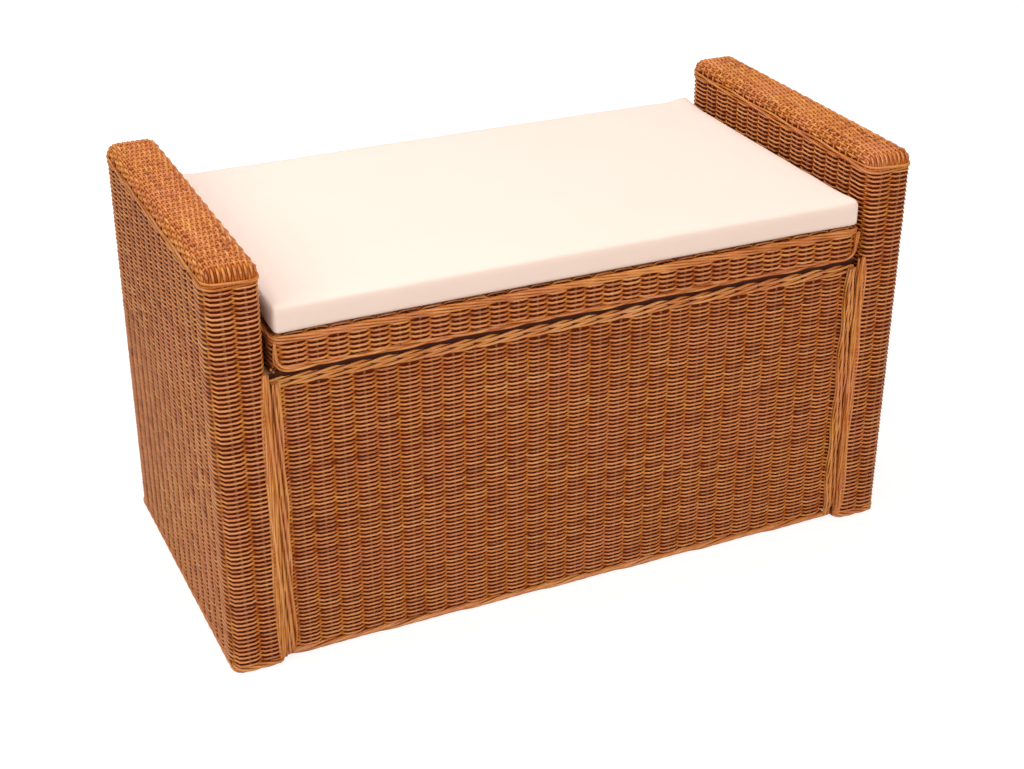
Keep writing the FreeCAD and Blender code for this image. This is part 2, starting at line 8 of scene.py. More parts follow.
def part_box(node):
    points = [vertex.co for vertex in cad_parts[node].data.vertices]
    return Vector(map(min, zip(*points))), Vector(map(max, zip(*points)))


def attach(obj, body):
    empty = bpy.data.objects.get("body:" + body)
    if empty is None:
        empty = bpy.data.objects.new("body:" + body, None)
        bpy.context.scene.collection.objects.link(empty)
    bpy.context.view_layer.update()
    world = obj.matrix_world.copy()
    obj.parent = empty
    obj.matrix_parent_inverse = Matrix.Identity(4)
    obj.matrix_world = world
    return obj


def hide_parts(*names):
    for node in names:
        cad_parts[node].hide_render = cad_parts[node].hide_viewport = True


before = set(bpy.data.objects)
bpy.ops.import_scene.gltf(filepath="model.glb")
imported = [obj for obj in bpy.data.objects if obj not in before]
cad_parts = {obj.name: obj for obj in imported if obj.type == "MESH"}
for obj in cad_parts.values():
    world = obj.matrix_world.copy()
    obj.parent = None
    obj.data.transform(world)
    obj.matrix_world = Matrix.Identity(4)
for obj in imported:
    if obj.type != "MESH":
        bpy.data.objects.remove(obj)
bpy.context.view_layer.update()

mm = 0.001


class Wire:  # a socket of a node tree, so that a sum written with it adds its own nodes
    def __init__(self, tree, socket=None):
        self.tree = tree
        self.socket = socket

    def node(self, kind, settings=None, sockets=None, out=0):
        made = self.tree.nodes.new(kind)
        for name, value in (settings or {}).items():
            if name == "stops":
                ends = (made.color_ramp.elements[0], value[0]), (made.color_ramp.elements[1], value[-1])
                for element, (place, colour) in ends:
                    element.position = place
                    element.color = colour
                for place, colour in value[1:-1]:
                    made.color_ramp.elements.new(place).color = colour
            else:
                setattr(made, name, value)
        for key, value in (sockets or {}).items():
            if isinstance(value, Wire):
                self.tree.links.new(value.socket, made.inputs[key])
            else:
                made.inputs[key].default_value = value
        return Wire(self.tree, made.outputs[out])

    def other(self, name):
        return Wire(self.tree, self.socket.node.outputs[name])

    def maths(self, operation, *terms):
        vectors = any(isinstance(term, Wire) and term.socket.type == "VECTOR" for term in terms)
        kind = "ShaderNodeVectorMath" if vectors else "ShaderNodeMath"
        sockets = {}
        for place, term in enumerate(terms):
            plain = isinstance(term, (int, float))
            sockets[place] = (term, term, term) if vectors and plain else term
        return self.node(kind, {"operation": operation}, sockets)

    def cosine(self):
        return self.maths("COSINE", self)

    def sine(self):
        return self.maths("SINE", self)

    def field(self, name, kind="FLOAT"):  # a named attribute, inside a geometry tree
        return self.node("GeometryNodeInputNamedAttribute", {"data_type": kind}, {"Name": name})

    def stored(self, name, value, kind="FLOAT"):
        return self.node("GeometryNodeStoreNamedAttribute", {"data_type": kind, "domain": "POINT"},
                         {"Geometry": self, "Name": name, "Value": value})

    def vector(self, x, y, z):
        return self.node("ShaderNodeCombineXYZ", None, {0: x, 1: y, 2: z})

    def cloud(self, place, scale, detail=2.0, roughness=0.5):  # soft noise from 0 to 1
        return self.node("ShaderNodeTexNoise", None,
                         {"Vector": place, "Scale": scale, "Detail": detail, "Roughness": roughness})

    def blend(self, share, first, second):  # colours
        return self.node("ShaderNodeMix", {"data_type": "RGBA"}, {0: share, 6: first, 7: second}, out=2)

    def spot(self):  # the place on the object, inside a shader
        return self.node("ShaderNodeTexCoord").other("Object")

    def painted(self, name, out=2):  # an attribute the strands carry, inside a shader
        return self.node("ShaderNodeAttribute", {"attribute_name": name}, out=out)

    def ranged(self, low, high, start=0.0, end=1.0):  # low to high becomes start to end
        return self.node("ShaderNodeMapRange", None, {"Value": self, "From Min": low, "From Max": high,
                                                      "To Min": start, "To Max": end})

    def coloured(self, *stops):  # a colour for each value, blended between the stops
        return self.node("ShaderNodeValToRGB", {"stops": stops}, {"Fac": self})

    def bumpy(self, strength, distance):  # a height becomes a normal
        return self.node("ShaderNodeBump", None,
                         {"Strength": strength, "Distance": distance, "Height": self})


operators = {"add": "ADD", "sub": "SUBTRACT", "mul": "MULTIPLY", "truediv": "DIVIDE"}
for sign, operation in operators.items():
    setattr(Wire, f"__{sign}__", lambda self, term, kind=operation: self.maths(kind, self, term))
    setattr(Wire, f"__r{sign}__", lambda self, term, kind=operation: self.maths(kind, term, self))


def newTree(name, *labels):
    # besides its own numbers, each tree takes a path, a count of sides and a material
    kinds = {"Geometry": "Geometry", "Rows": "Object", "Row Count": "Int", "Strands": "Int",
             "Sides": "Int", "Material": "Material"}
    labels = ("Geometry", *labels, "Strand Radius", "Wander", "Seed", "Sides", "Material")
    tree = bpy.data.node_groups.new(name, "GeometryNodeTree")
    for label in labels:
        kind = kinds.get(label, "Float")
        tree.interface.new_socket(label, in_out="INPUT", socket_type="NodeSocket" + kind)
    tree.interface.new_socket("Geometry", in_out="OUTPUT", socket_type="NodeSocketGeometry")
    entry = tree.nodes.new("NodeGroupInput")
    return tree, Wire(tree), {label: Wire(tree, entry.outputs[label]) for label in labels}


def tubesOut(tree, curves, given, size):  # curves get their round section, and the tree its end
    pen = Wire(tree)
    circle = pen.node("GeometryNodeCurvePrimitiveCircle", None,
                      {"Resolution": given["Sides"], "Radius": given["Strand Radius"]})
    spot = pen.node("GeometryNodeInputPosition")
    circle = circle.stored("ring", spot / given["Strand Radius"], "FLOAT_VECTOR")
    curves = curves.stored("along", pen.node("GeometryNodeSplineParameter").other("Length"))
    tubes = pen.node("GeometryNodeCurveToMesh", None,
                     {"Curve": curves, "Profile Curve": circle, "Scale": size, "Fill Caps": True})
    tubes = pen.node("GeometryNodeSetShadeSmooth", None, {"Geometry": tubes})
    tubes = pen.node("GeometryNodeRealizeInstances", None, {"Geometry": tubes})
    tubes = pen.node("GeometryNodeSetMaterial", None,
                     {"Geometry": tubes, "Material": given["Material"]})
    leave = tree.nodes.new("NodeGroupOutput")
    tree.links.new(tubes.socket, leave.inputs["Geometry"])


def buildWeaveTree():
    # one path is copied to every row; odd rows pass behind the stakes that even rows pass in front of
    tree, pen, given = newTree("weave_rows", "Rows", "Row Count", "Swing", "Crispness", "Droop",
                               "Jitter")
    rows = pen.node("GeometryNodeObjectInfo", None, {"Object": given["Rows"]}).other("Geometry")
    path = pen.node("GeometryNodeMeshToCurve", None, {"Mesh": given["Geometry"]})
    copies = pen.node("GeometryNodeDuplicateElements", {"domain": "SPLINE"},
                      {"Geometry": path, "Amount": given["Row Count"]})
    row = copies.other("Duplicate Index")

    def ofRow(name, kind):
        return pen.node("GeometryNodeSampleIndex", {"data_type": kind, "domain": "POINT"},
                        {"Geometry": rows, "Value": pen.field(name, kind), "Index": row})

    turn = pen.field("turn")
    outward = pen.field("round", "FLOAT_VECTOR")
    across = pen.field("across", "FLOAT_VECTOR")
    base = pen.node("GeometryNodeInputPosition") + ofRow("shift", "FLOAT_VECTOR")
    base = base + outward * ofRow("fold", "FLOAT")
    swing = ((turn + row) * math.pi).cosine() * given["Crispness"]
    sway = swing.maths("MAXIMUM", swing.maths("MINIMUM", swing, 1.0), -1.0)
    drift = pen.cloud(base * 1.0 + given["Seed"] * 3.1, 7.0, 1.0) - 0.5
    odd = pen.cloud(pen.vector(turn * 0.9, row * 5.37, given["Seed"]), 1.0, 1.0) - 0.5
    proud = sway * (1.0 + odd * 0.5) * pen.field("give") + pen.field("lift")
    reach = ofRow("side", "FLOAT_VECTOR") + outward * ofRow("lean", "FLOAT")
    slide = drift * given["Wander"] + odd * given["Jitter"] - sway * given["Droop"]
    place = base + reach * (proud * given["Swing"]) + across * slide
    curves = pen.node("GeometryNodeSetPosition", None, {"Geometry": copies, "Position": place})
    shade = pen.cloud(pen.vector(turn * 0.16, row * 17.3, given["Seed"] * 9.7), 1.0, 1.0)
    curves = curves.stored("tone", shade)
    curves = curves.stored("proud", sway * 0.5 + 0.5)
    tubesOut(tree, curves, given, 1.0 + odd * 0.35)
    return tree


def buildRopeTree():
    # strands that turn round a path, cross over one another, or lie side by side in a flat bundle
    tree, pen, given = newTree("rope_strands", "Strands", "Width", "Depth", "Lay", "Crossing", "Flat")
    path = pen.node("GeometryNodeMeshToCurve", None, {"Mesh": given["Geometry"]})
    copies = pen.node("GeometryNodeDuplicateElements", {"domain": "SPLINE"},
                      {"Geometry": path, "Amount": given["Strands"]})
    number = copies.other("Duplicate Index")
    share = number / given["Strands"]
    run = pen.field("run")
    angle = (run / given["Lay"] + share) * (2 * math.pi)
    lane = (share * 2.0 - 1.0) + 1.0 / given["Strands"]
    roam = pen.cloud(pen.vector(run * 14.0, number * 7.7, given["Seed"]), 1.0, 1.0) - 0.5
    loose = angle.cosine()
    beside = lane + (loose * 0.9 + roam * 1.2) / given["Strands"]
    over = loose + (beside - loose) * given["Flat"]
    rise = (angle * given["Crossing"]).sine()
    spread = pen.field("spread")
    place = pen.node("GeometryNodeInputPosition")
    place = place + pen.field("side", "FLOAT_VECTOR") * (over * given["Width"] * spread)
    place = place + pen.field("round", "FLOAT_VECTOR") * (rise * given["Depth"] + roam * given["Wander"])
    curves = pen.node("GeometryNodeSetPosition", None, {"Geometry": copies, "Position": place})
    shade = pen.cloud(pen.vector(run * 3.0, number * 13.3, given["Seed"] * 5.3), 1.0, 1.0)
    curves = curves.stored("tone", shade)
    curves = curves.stored("proud", rise * 0.35 + 0.65)
    tubesOut(tree, curves, given, 1.0 + roam * 0.3)
    return tree


def newMaterial(name, fixed):
    material = bpy.data.materials.new(name)
    material.use_nodes = True
    tree = material.node_tree
    tree.nodes.clear()
    leave = tree.nodes.new("ShaderNodeOutputMaterial")
    shader = tree.nodes.new("ShaderNodeBsdfPrincipled")
    tree.links.new(shader.outputs[0], leave.inputs[0])
    for socket, value in fixed.items():
        shader.inputs[socket].default_value = value
    return material, Wire(tree), shader


def feed(pen, shader, **wires):
    names = {"colour": "Base Color", "roughness": "Roughness", "normal": "Normal", "coat": "Coat Weight"}
    for key, wire in wires.items():
        pen.tree.links.new(wire.socket, shader.inputs[names[key]])


def dimmed(colour, share):
    return tuple(value * share for value in colour[:3]) + (1,)


caneLook = {
    "deep": (0.155, 0.018, 0.0006, 1), "brown": (0.37, 0.088, 0.010, 1),
    "orange": (0.50, 0.152, 0.022, 1), "ochre": (0.60, 0.250, 0.045, 1),
    "straw": (0.72, 0.38, 0.14, 1), "rosy": (0.56, 0.180, 0.070, 1),
    "worn": (0.62, 0.250, 0.115, 1), "gold": (0.58, 0.235, 0.030, 1),
    "fibreScale": 55.0, "patchScale": 13.0, "blotchScale": 60.0, "poreScale": 420.0,
    "toneShare": 1.5, "fibreShare": 0.9, "blotchShare": 0.55,
    "rosyShare": 0.6, "wornShare": 0.42, "goldShare": 0.5, "poreShare": 0.55, "recess": 0.68,
    "gloss": 0.3, "coat": 0.55, "fibreDepth": 0.22 * mm,
}


def caneMaterial(name, lift=0.0, recess=1.0, dim=1.0):
    # strands stained in the piece: each has its own tone, with long fibres, red patches and dark pores;
    # raised faces get a painted sheen and recessed faces painted shade
    look = caneLook
    # dim darkens the deep colour, for the copies of the cane that paint shade and shadow
    deep = dimmed(look["deep"], dim)
    material, pen, shader = newMaterial(name, {"Coat Roughness": 0.15, "Specular IOR Level": 0.14})
    tone, proud, along = pen.painted("tone"), pen.painted("proud"), pen.painted("along")
    ring = pen.painted("ring", out=1)
    spot = pen.spot()
    fibreSpot = pen.vector(along * look["fibreScale"], tone * 91.0, 0.0) + ring * 2.6
    poreSpot = pen.vector(along * look["poreScale"], tone * 37.0, 0.0) + ring * 7.0
    fibre = pen.cloud(fibreSpot, 1.0, 4.0, 0.65)
    pore = pen.cloud(poreSpot, 1.0, 2.0)
    patch = pen.cloud(spot, look["patchScale"], 2.0)
    blotch = pen.cloud(spot + 4.0, look["blotchScale"], 2.0)
    mixed = ((tone - 0.5) * look["toneShare"] + (fibre - 0.5) * look["fibreShare"]
             + (blotch - 0.5) * look["blotchShare"] + (0.5 + lift))
    colour = mixed.coloured((0.05, look["deep"]), (0.28, look["brown"]), (0.5, look["orange"]),
                            (0.72, look["ochre"]), (0.98, look["straw"]))
    red = (patch + (tone - 0.5) * 0.3).ranged(0.5, 0.68, end=look["rosyShare"])
    colour = pen.blend(red, colour, look["rosy"])
    # the proudest strand faces blend towards a paler pink: a painted sheen
    colour = pen.blend(proud.ranged(0.72, 1.0, end=look["wornShare"]), colour, look["worn"])
    turning = (proud - 0.5).maths("ABSOLUTE")
    colour = pen.blend(turning.ranged(0.0, 0.3, look["goldShare"], 0.0), colour, look["gold"])
    colour = pen.blend(pore.ranged(0.66, 0.74, end=look["poreShare"]), colour, deep)
    # strands that pass behind the stakes blend towards the deep colour: painted shade in the recesses
    colour = pen.blend(proud.ranged(0.0, 0.62, look["recess"] * recess, 0.0), colour, deep)
    feed(pen, shader, colour=colour, roughness=fibre * 0.3 + look["gloss"],
         normal=(fibre + pore * 0.3).bumpy(0.55, look["fibreDepth"]),
         coat=proud.ranged(0.45, 1.0, end=look["coat"]))
    return material


woodLook = {
    "timber": {"pale": (0.56, 0.34, 0.165, 1), "dark": (0.36, 0.175, 0.065, 1), "ringScale": 38.0},
    "plywood": {"pale": (0.60, 0.385, 0.20, 1), "dark": (0.43, 0.235, 0.10, 1), "ringScale": 22.0},
    "stretch": 0.07, "fibreScale": 620.0, "stainScale": 9.0, "layerScale": 105.0, "fibreDepth": 0.4 * mm,
}


def woodMaterial(name, kind, axis):
    # planed softwood with the grain along one axis; plywood shows its edge layers and a wider figure
    look = woodLook
    pale, dark = look[kind]["pale"], look[kind]["dark"]
    material, pen, shader = newMaterial(name, {"Specular IOR Level": 0.35})
    spot = pen.spot()
    grainSpot = spot * tuple(look["stretch"] if way == axis else 1.0 for way in "xyz")
    warp = pen.cloud(grainSpot, 16.0, 2.0)
    rings = pen.node("ShaderNodeTexWave", {"wave_type": "BANDS", "bands_direction": "DIAGONAL"},
                     {"Vector": grainSpot + warp * 0.05, "Scale": look[kind]["ringScale"],
                      "Distortion": 5.0, "Detail": 2.0, "Detail Scale": 1.2})
    fibre = pen.cloud(grainSpot, look["fibreScale"], 3.0, 0.7)
    stain = pen.cloud(spot, look["stainScale"], 3.0)
    colour = pen.blend(rings * 0.55 + fibre * 0.35, pale, dark)
    colour = pen.blend(stain * 0.35, colour, dimmed(dark, 0.6))
    if kind == "plywood":
        layer = pen.node("ShaderNodeTexWave", {"wave_type": "BANDS", "bands_direction": "Z"},
                         {"Vector": spot, "Scale": look["layerScale"], "Distortion": 0.4})
        colour = pen.blend(layer * 0.14, colour, dark)
    feed(pen, shader, colour=colour, roughness=fibre * 0.22 + 0.5,
         normal=(fibre + rings * 0.4).bumpy(0.35, look["fibreDepth"]))
    return material


shadedRodLook = {"deep": (0.13, 0.026, 0.004, 1), "brown": (0.21, 0.058, 0.011, 1),
           "pale": (0.31, 0.110, 0.026, 1), "fibreScale": 900.0, "patchScale": 30.0,
           "fibreDepth": 0.2 * mm}


def rodMaterial(name):
    # the round stakes: straight cane with length-wise fibres, paler where the stain missed; all the
    # colours are kept dark so that stakes seen between the strands read as painted shade
    look = shadedRodLook
    material, pen, shader = newMaterial(name, {"Coat Weight": 0.15, "Coat Roughness": 0.3})
    spot = pen.spot()
    fibre = pen.cloud(spot * (1.0, 1.0, 0.05), look["fibreScale"], 3.0, 0.6)
    patch = pen.cloud(spot, look["patchScale"], 2.0)
    colour = (fibre * 0.6 + patch * 0.4).coloured(
        (0.2, look["deep"]), (0.5, look["brown"]), (0.8, look["pale"]))
    feed(pen, shader, colour=colour, roughness=fibre * 0.25 + 0.35,
         normal=fibre.bumpy(0.4, look["fibreDepth"]))
    return material


steelLook = {"hinge": (0.62, 0.58, 0.50, 1), "screw": (0.66, 0.62, 0.52, 1),
             "brushScale": 2600.0, "smearScale": 70.0, "brushDepth": 0.1 * mm}


def steelMaterial(name, tint):
    # plated steel, brushed along x, with dull smears
    material, pen, shader = newMaterial(name, {"Metallic": 1.0})
    spot = pen.spot()
    brushed = pen.cloud(spot * (0.04, 1.0, 1.0), steelLook["brushScale"], 2.0)
    smear = pen.cloud(spot, steelLook["smearScale"], 3.0)
    feed(pen, shader, colour=pen.blend(smear * 0.6, tint, dimmed(tint, 0.62)),
         roughness=brushed * 0.2 + smear * 0.2 + 0.16,
         normal=brushed.bumpy(0.25, steelLook["brushDepth"]))
    return material


cottonLook = {"cloth": (0.78, 0.625, 0.565, 1), "shade": (0.73, 0.575, 0.495, 1),
              "threadPitch": 0.8 * mm, "wobble": 0.9 * mm, "slubScale": 55.0, "slubLength": 14.0,
              "threadDepth": 0.25 * mm}


def cottonMaterial(name):
    # plain-woven cream cotton: warp and weft threads, slubs and a faint uneven dye
    look = cottonLook
    material, pen, shader = newMaterial(name, {"Sheen Weight": 0.25, "Sheen Roughness": 0.6,
                                               "Specular IOR Level": 0.2})
    spot = pen.spot()
    wobble = pen.cloud(spot, 90.0, 2.0) * look["wobble"]
    beat = 2 * math.pi / look["threadPitch"]
    threads = pen.node("ShaderNodeSeparateXYZ", None, {0: (spot + wobble) * beat})
    warp = threads.sine()
    weft = (threads.other("Y") + threads.other("Z")).sine()
    cloth = (warp * weft) * 0.5 + 0.5
    thin, long = 1.0, look["slubLength"]
    slub = (pen.cloud(spot * (thin, long, long), look["slubScale"], 2.0)
            + pen.cloud(spot * (long, thin, thin), look["slubScale"], 2.0))
    dye = pen.cloud(spot, 6.0, 3.0)
    share = cloth * 0.16 + (slub - 0.9) * 0.35 + (dye - 0.4) * 0.5
    share = pen.node("ShaderNodeClamp", None, {"Value": share})
    feed(pen, shader, colour=pen.blend(share, look["cloth"], look["shade"]),
         roughness=cloth * 0.12 + 0.8, normal=(cloth + slub * 0.5).bumpy(0.4, look["threadDepth"]))
    return material


floorLook = {"dull": (0.80, 0.79, 0.77, 1), "clean": (0.83, 0.82, 0.80, 1),
             "near": 0.55, "nearGlow": 0.72, "far": 2.0, "glow": 1.15}


def floorMaterial():
    # a white sweep: it takes soft shadows near the trunk and goes to plain white further out
    look = floorLook
    material, pen, shader = newMaterial("studio_floor", {"Specular IOR Level": 0.1, "Roughness": 0.9})
    spot = pen.spot()
    feed(pen, shader, colour=pen.blend(pen.cloud(spot, 1.2, 2.0), look["dull"], look["clean"]))
    seen = pen.node("ShaderNodeLightPath").other("Is Camera Ray")
    far = spot.maths("LENGTH", spot).other("Value").ranged(look["near"], look["far"], look["nearGlow"])
    glow = pen.node("ShaderNodeEmission", None, {"Color": (1, 1, 1, 1), "Strength": look["glow"]})
    lit = Wire(pen.tree, shader.outputs[0])
    both = pen.node("ShaderNodeMixShader", None, {0: seen * far, 1: lit, 2: glow})
    leave = next(node for node in pen.tree.nodes if node.type == "OUTPUT_MATERIAL")
    pen.tree.links.new(both.socket, leave.inputs[0])
    return material


def placed(name, data):
    thing = bpy.data.objects.new(name, data)
    bpy.context.scene.collection.objects.link(thing)
    return thing


def finishedMesh(thing):
    return bpy.data.meshes.new_from_object(thing.evaluated_get(bpy.context.evaluated_depsgraph_get()))


def pathObject(name, chains):
    # each chain is a run of points with values that the trees read by name
    points, edges, fields = [], [], {}
    for chain in chains:
        start, count = len(points), len(chain["points"])
        points += chain["points"]
        edges += [(start + step, start + step + 1) for step in range(count - 1)]
        if chain.get("closed"):
            edges.append((start + count - 1, start))
        for key, values in chain["fields"].items():
            fields.setdefault(key, []).extend(values)
    mesh = bpy.data.meshes.new(name)
    mesh.from_pydata([tuple(point) for point in points], edges, [])
    for key, values in fields.items():
        isVector = hasattr(values[0], "__len__")
        layer = mesh.attributes.new(key, "FLOAT_VECTOR" if isVector else "FLOAT", "POINT")
        if isVector:
            layer.data.foreach_set("vector", [part for value in values for part in value])
        else:
            layer.data.foreach_set("value", values)
    return placed(name, mesh)


def grown(name, tree, path, helpers=(), **values):
    # runs a tree on a path and keeps the result as a plain mesh
    modifier = path.modifiers.new("grow", "NODES")
    modifier.node_group = tree
    wanted = {key.lower(): value for key, value in values.items()}
    for item in tree.interface.items_tree:
        key = item.name.lower().replace(" ", "")
        if item.in_out == "INPUT" and key in wanted:
            modifier[item.identifier] = wanted[key]
    piece = placed(name, finishedMesh(path))
    for spent in (path, *helpers):
        bpy.data.objects.remove(spent)
    return piece


def joined(name, pieces):
    first = pieces[0]
    with bpy.context.temp_override(active_object=first, object=first, selected_objects=pieces,
                                   selected_editable_objects=pieces):
        bpy.ops.object.join()
    first.name = first.data.name = name
    return first


def settle(piece, body, slot, *nodes):
    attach(piece, body)
    if nodes:
        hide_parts(*nodes)
    print(f"  {piece.name}: {len(piece.data.polygons)} faces")


def insetRing(low, high, inset, radius):
    return low.x + inset, high.x - inset, low.y + inset, high.y - inset, radius


def ringSides(ring):
    x0, x1, y0, y1, radius = ring
    return [y1 - y0 - 2 * radius, x1 - x0 - 2 * radius] * 2


def ringLength(ring):
    return sum(ringSides(ring)) + 2 * math.pi * ring[4]


def ringPoint(ring, distance):
    # a rounded rectangle in plan, followed from its east side, with the way outwards
    x0, x1, y0, y1, radius = ring
    centres = [(x1 - radius, y1 - radius), (x0 + radius, y1 - radius),
               (x0 + radius, y0 + radius), (x1 - radius, y0 + radius)]
    distance %= ringLength(ring)
    for quarter, straight in enumerate(ringSides(ring)):
        turn = quarter * math.pi / 2
        normal = Vector((round(math.cos(turn)), round(math.sin(turn)), 0))
        if distance <= straight:
            start = Vector((*centres[quarter - 1], 0)) + normal * radius
            return start + Vector((-normal.y, normal.x, 0)) * distance, normal
        distance -= straight
        if distance <= radius * math.pi / 2 or quarter == 3:
            angle = turn + distance / radius
            normal = Vector((math.cos(angle), math.sin(angle), 0))
            return Vector((*centres[quarter], 0)) + normal * radius, normal
        distance -= radius * math.pi / 2


def ringMarks(ring, places):
    # where the stakes stand: for each side, how many and how far apart
    marks, start = [], 0.0
    for straight, (count, pitch) in zip(ringSides(ring), places):
        marks += [start + straight / 2 + (k - (count - 1) / 2) * pitch for k in range(count)]
        start += straight + ring[4] * math.pi / 2
    return marks


def chain(steps, names, closed=False):
    # each step: its point, then a value for each name
    points, *columns = zip(*steps)
    return {"points": points, "closed": closed, "fields": dict(zip(names, columns))}


def weaverPath(steps, across, closed=False):
    # each step: its point, the way outwards, the stakes passed so far, how freely it swings, its lift
    way = Vector(across)
    run = chain([(*step, way) for step in steps], ("round", "turn", "give", "lift", "across"), closed)
    return pathObject("weaver_path", [run])


def ringWeaver(ring, places, wideGap):
    # a gap wider than usual, as round a corner, gets more bends so that its curve stays round
    marks = ringMarks(ring, places)
    steps = []
    for index, mark in enumerate(marks):
        gap = (marks[index + 1] if index + 1 < len(marks) else marks[0] + ringLength(ring)) - mark
        for stop in strand["cornerStops" if gap > wideGap else "stops"]:
            steps.append((*ringPoint(ring, mark + gap * stop), index + stop, 1.0, 0.0))
    return weaverPath(steps, (0, 0, 1), True)


def rowsObject(shifts, sides=None, leans=None, folds=None):
    # one point for each row: where it stands, the way it swings, and how far it follows the bends
    count = len(shifts)
    steps = zip(shifts, shifts, sides or [Vector()] * count, leans or [1.0] * count,
                folds or [0.0] * count)
    return pathObject("rows", [chain(steps, ("shift", "side", "lean", "fold"))])


def levelRows(bottom, pitch, count, first=0):
    return rowsObject([Vector((0, 0, bottom + (first + k + 0.5) * pitch)) for k in range(count)])


def ropeChain(steps, closed=False):
    # each step: its point, the way outwards, the way across, the length so far, its share of the width
    return chain(steps, ("round", "side", "run", "spread"), closed)


def ropeRing(ring, height, fine):
    count = math.ceil(ringLength(ring) / fine)
    up = Vector((0, 0, 1))
    steps = []
    for step in range(count):
        distance = ringLength(ring) * step / count
        point, normal = ringPoint(ring, distance)
        steps.append((point + up * height, normal, up, distance, 1.0))
    return ropeChain(steps, True)


def ropeLine(points, outward, fine, ends=(1.0, 1.0), taper=20 * mm, side=None):
    # a path through corner points, resampled; the bundle can narrow towards its ends, and the way
    # outwards is one direction or depends on the point
    points = [Vector(point) for point in points]
    runs = [(b - a).length for a, b in zip(points, points[1:])]
    total = sum(runs)
    count = max(2, math.ceil(total / fine))
    wayOut = outward if callable(outward) else lambda point: Vector(outward)
    steps = []
    for step in range(count + 1):
        distance = total * step / count
        leg, start = 0, 0.0
        while leg < len(runs) - 1 and distance > start + runs[leg]:
            start += runs[leg]
            leg += 1
        point = points[leg].lerp(points[leg + 1], (distance - start) / runs[leg])
        heading = (points[leg + 1] - points[leg]).normalized()
        spread = 1.0
        for end, away in zip(ends, (distance, total - distance)):
            if away < taper:
                spread = end + (1 - end) * math.sin(away / taper * math.pi / 2)
        way = wayOut(point)
        steps.append((point, way, Vector(side) if side else heading.cross(way), distance, spread))
    return ropeChain(steps)


def arcPoints(centre, first, second, radius, count):
    # a quarter turn from the direction first to the direction second
    centre, first, second = Vector(centre), Vector(first), Vector(second)
    angles = [k / count * math.pi / 2 for k in range(count + 1)]
    return [centre + (first * math.cos(angle) + second * math.sin(angle)) * radius for angle in angles]


def coreSheet(spots, bottom, top, closed=False, finish=None):
    # a thin dark sheet in the middle of a wall, a real weave being too tight to see through; its
    # darkened cane colour is painted shade
    half = strand["coreThickness"] / 2
    verts, faces = [], []
    for point, outward in spots:
        for way, z in ((1, bottom), (1, top), (-1, top), (-1, bottom)):
            verts.append((point.x + outward.x * way * half, point.y + outward.y * way * half, z))
    count = len(spots)
    for step in range(count if closed else count - 1):
        a, b = step * 4, (step + 1) % count * 4
        faces += [(a + k, b + k, b + (k + 1) % 4, a + (k + 1) % 4) for k in range(4)]
    if not closed:
        faces += [(3, 2, 1, 0), tuple(range(len(verts) - 4, len(verts)))]
    mesh = bpy.data.meshes.new("core")
    mesh.from_pydata(verts, [], faces)
    mesh.materials.append(finish or caneShade)
    block = bmesh.new()
    block.from_mesh(mesh)
    bmesh.ops.recalc_face_normals(block, faces=block.faces)
    block.to_mesh(mesh)
    block.free()
    return placed("core", mesh)


def flatCore(xs, y, bottom, top, finish=None):
    return coreSheet([(Vector((x, y, 0)), Vector((0, 1, 0))) for x in xs], bottom, top, finish=finish)


def ringCore(ring, count, bottom, top):
    spots = [ringPoint(ring, ringLength(ring) * k / count) for k in range(count)]
    return coreSheet(spots, bottom, top, True)


weaveTree = buildWeaveTree()
ropeTree = buildRopeTree()
cane = caneMaterial("varnished_cane")
caneBorder = caneMaterial("border_cane", lift=0.10, recess=0.7)
# the next finish is a darkened copy of the cane for the sheets inside the walls: painted shade
caneShade = caneMaterial("shaded_cane", lift=-0.2, recess=1.25, dim=0.72)
# the next finish is a much darker copy of the cane, for the sheets in the slots by the lid's edges: a
# painted shadow
gapShadowCane = caneMaterial("painted_gap_shadow_cane", lift=-0.2, recess=1.4, dim=0.22)
rod = rodMaterial("shaded_stake_cane")

strand = {"look": {"strandRadius": 1.5 * mm, "swing": 3.0 * mm, "crispness": 1.7, "droop": 0.75 * mm,
                   "wander": 3.0 * mm, "jitter": 0.9 * mm, "sides": 5, "material": cane},
          "stops": (0.0, 0.28, 0.44, 0.56, 0.72),  # where a strand bends between one stake and the next
          "cornerStops": (0.0, 0.14, 0.28, 0.44, 0.56, 0.72, 0.86),
          "coreThickness": 0.6 * mm, "stakeRadius": 2 * mm}


def weave(name, path, rows, count, seed, **changes):
    look = {**strand["look"], **changes}
    return grown(name, weaveTree, path, [rows], rows=rows, rowCount=count, seed=seed, **look)


def bundle(strands, width, depth, lay, radius, **changes):
    # strands laid up together; width, depth, lay and radius in millimetres
    return {"strands": strands, "width": width * mm, "depth": depth * mm, "lay": lay * mm,
            "crossing": 1.0, "flat": 0.0, "strandRadius": radius * mm, "wander": 0.0, "sides": 6,
            "material": caneBorder, **changes}


def rope(name, chains, look, seed, **changes):
    return grown(name, ropeTree, pathObject(name + "_path", chains), seed=seed, **{**look, **changes})


def ringRope(name, ring, heights, fine, look, seed):
    # the lay is eased a little so that the strands meet where the ring closes
    length = ringLength(ring)
    lay = length / round(length / look["lay"])
    return rope(name, [ropeRing(ring, height, fine) for height in heights], look, seed, lay=lay)


rib = bundle(1, 0, 0, 1000, 2.0)  # a single straight stake


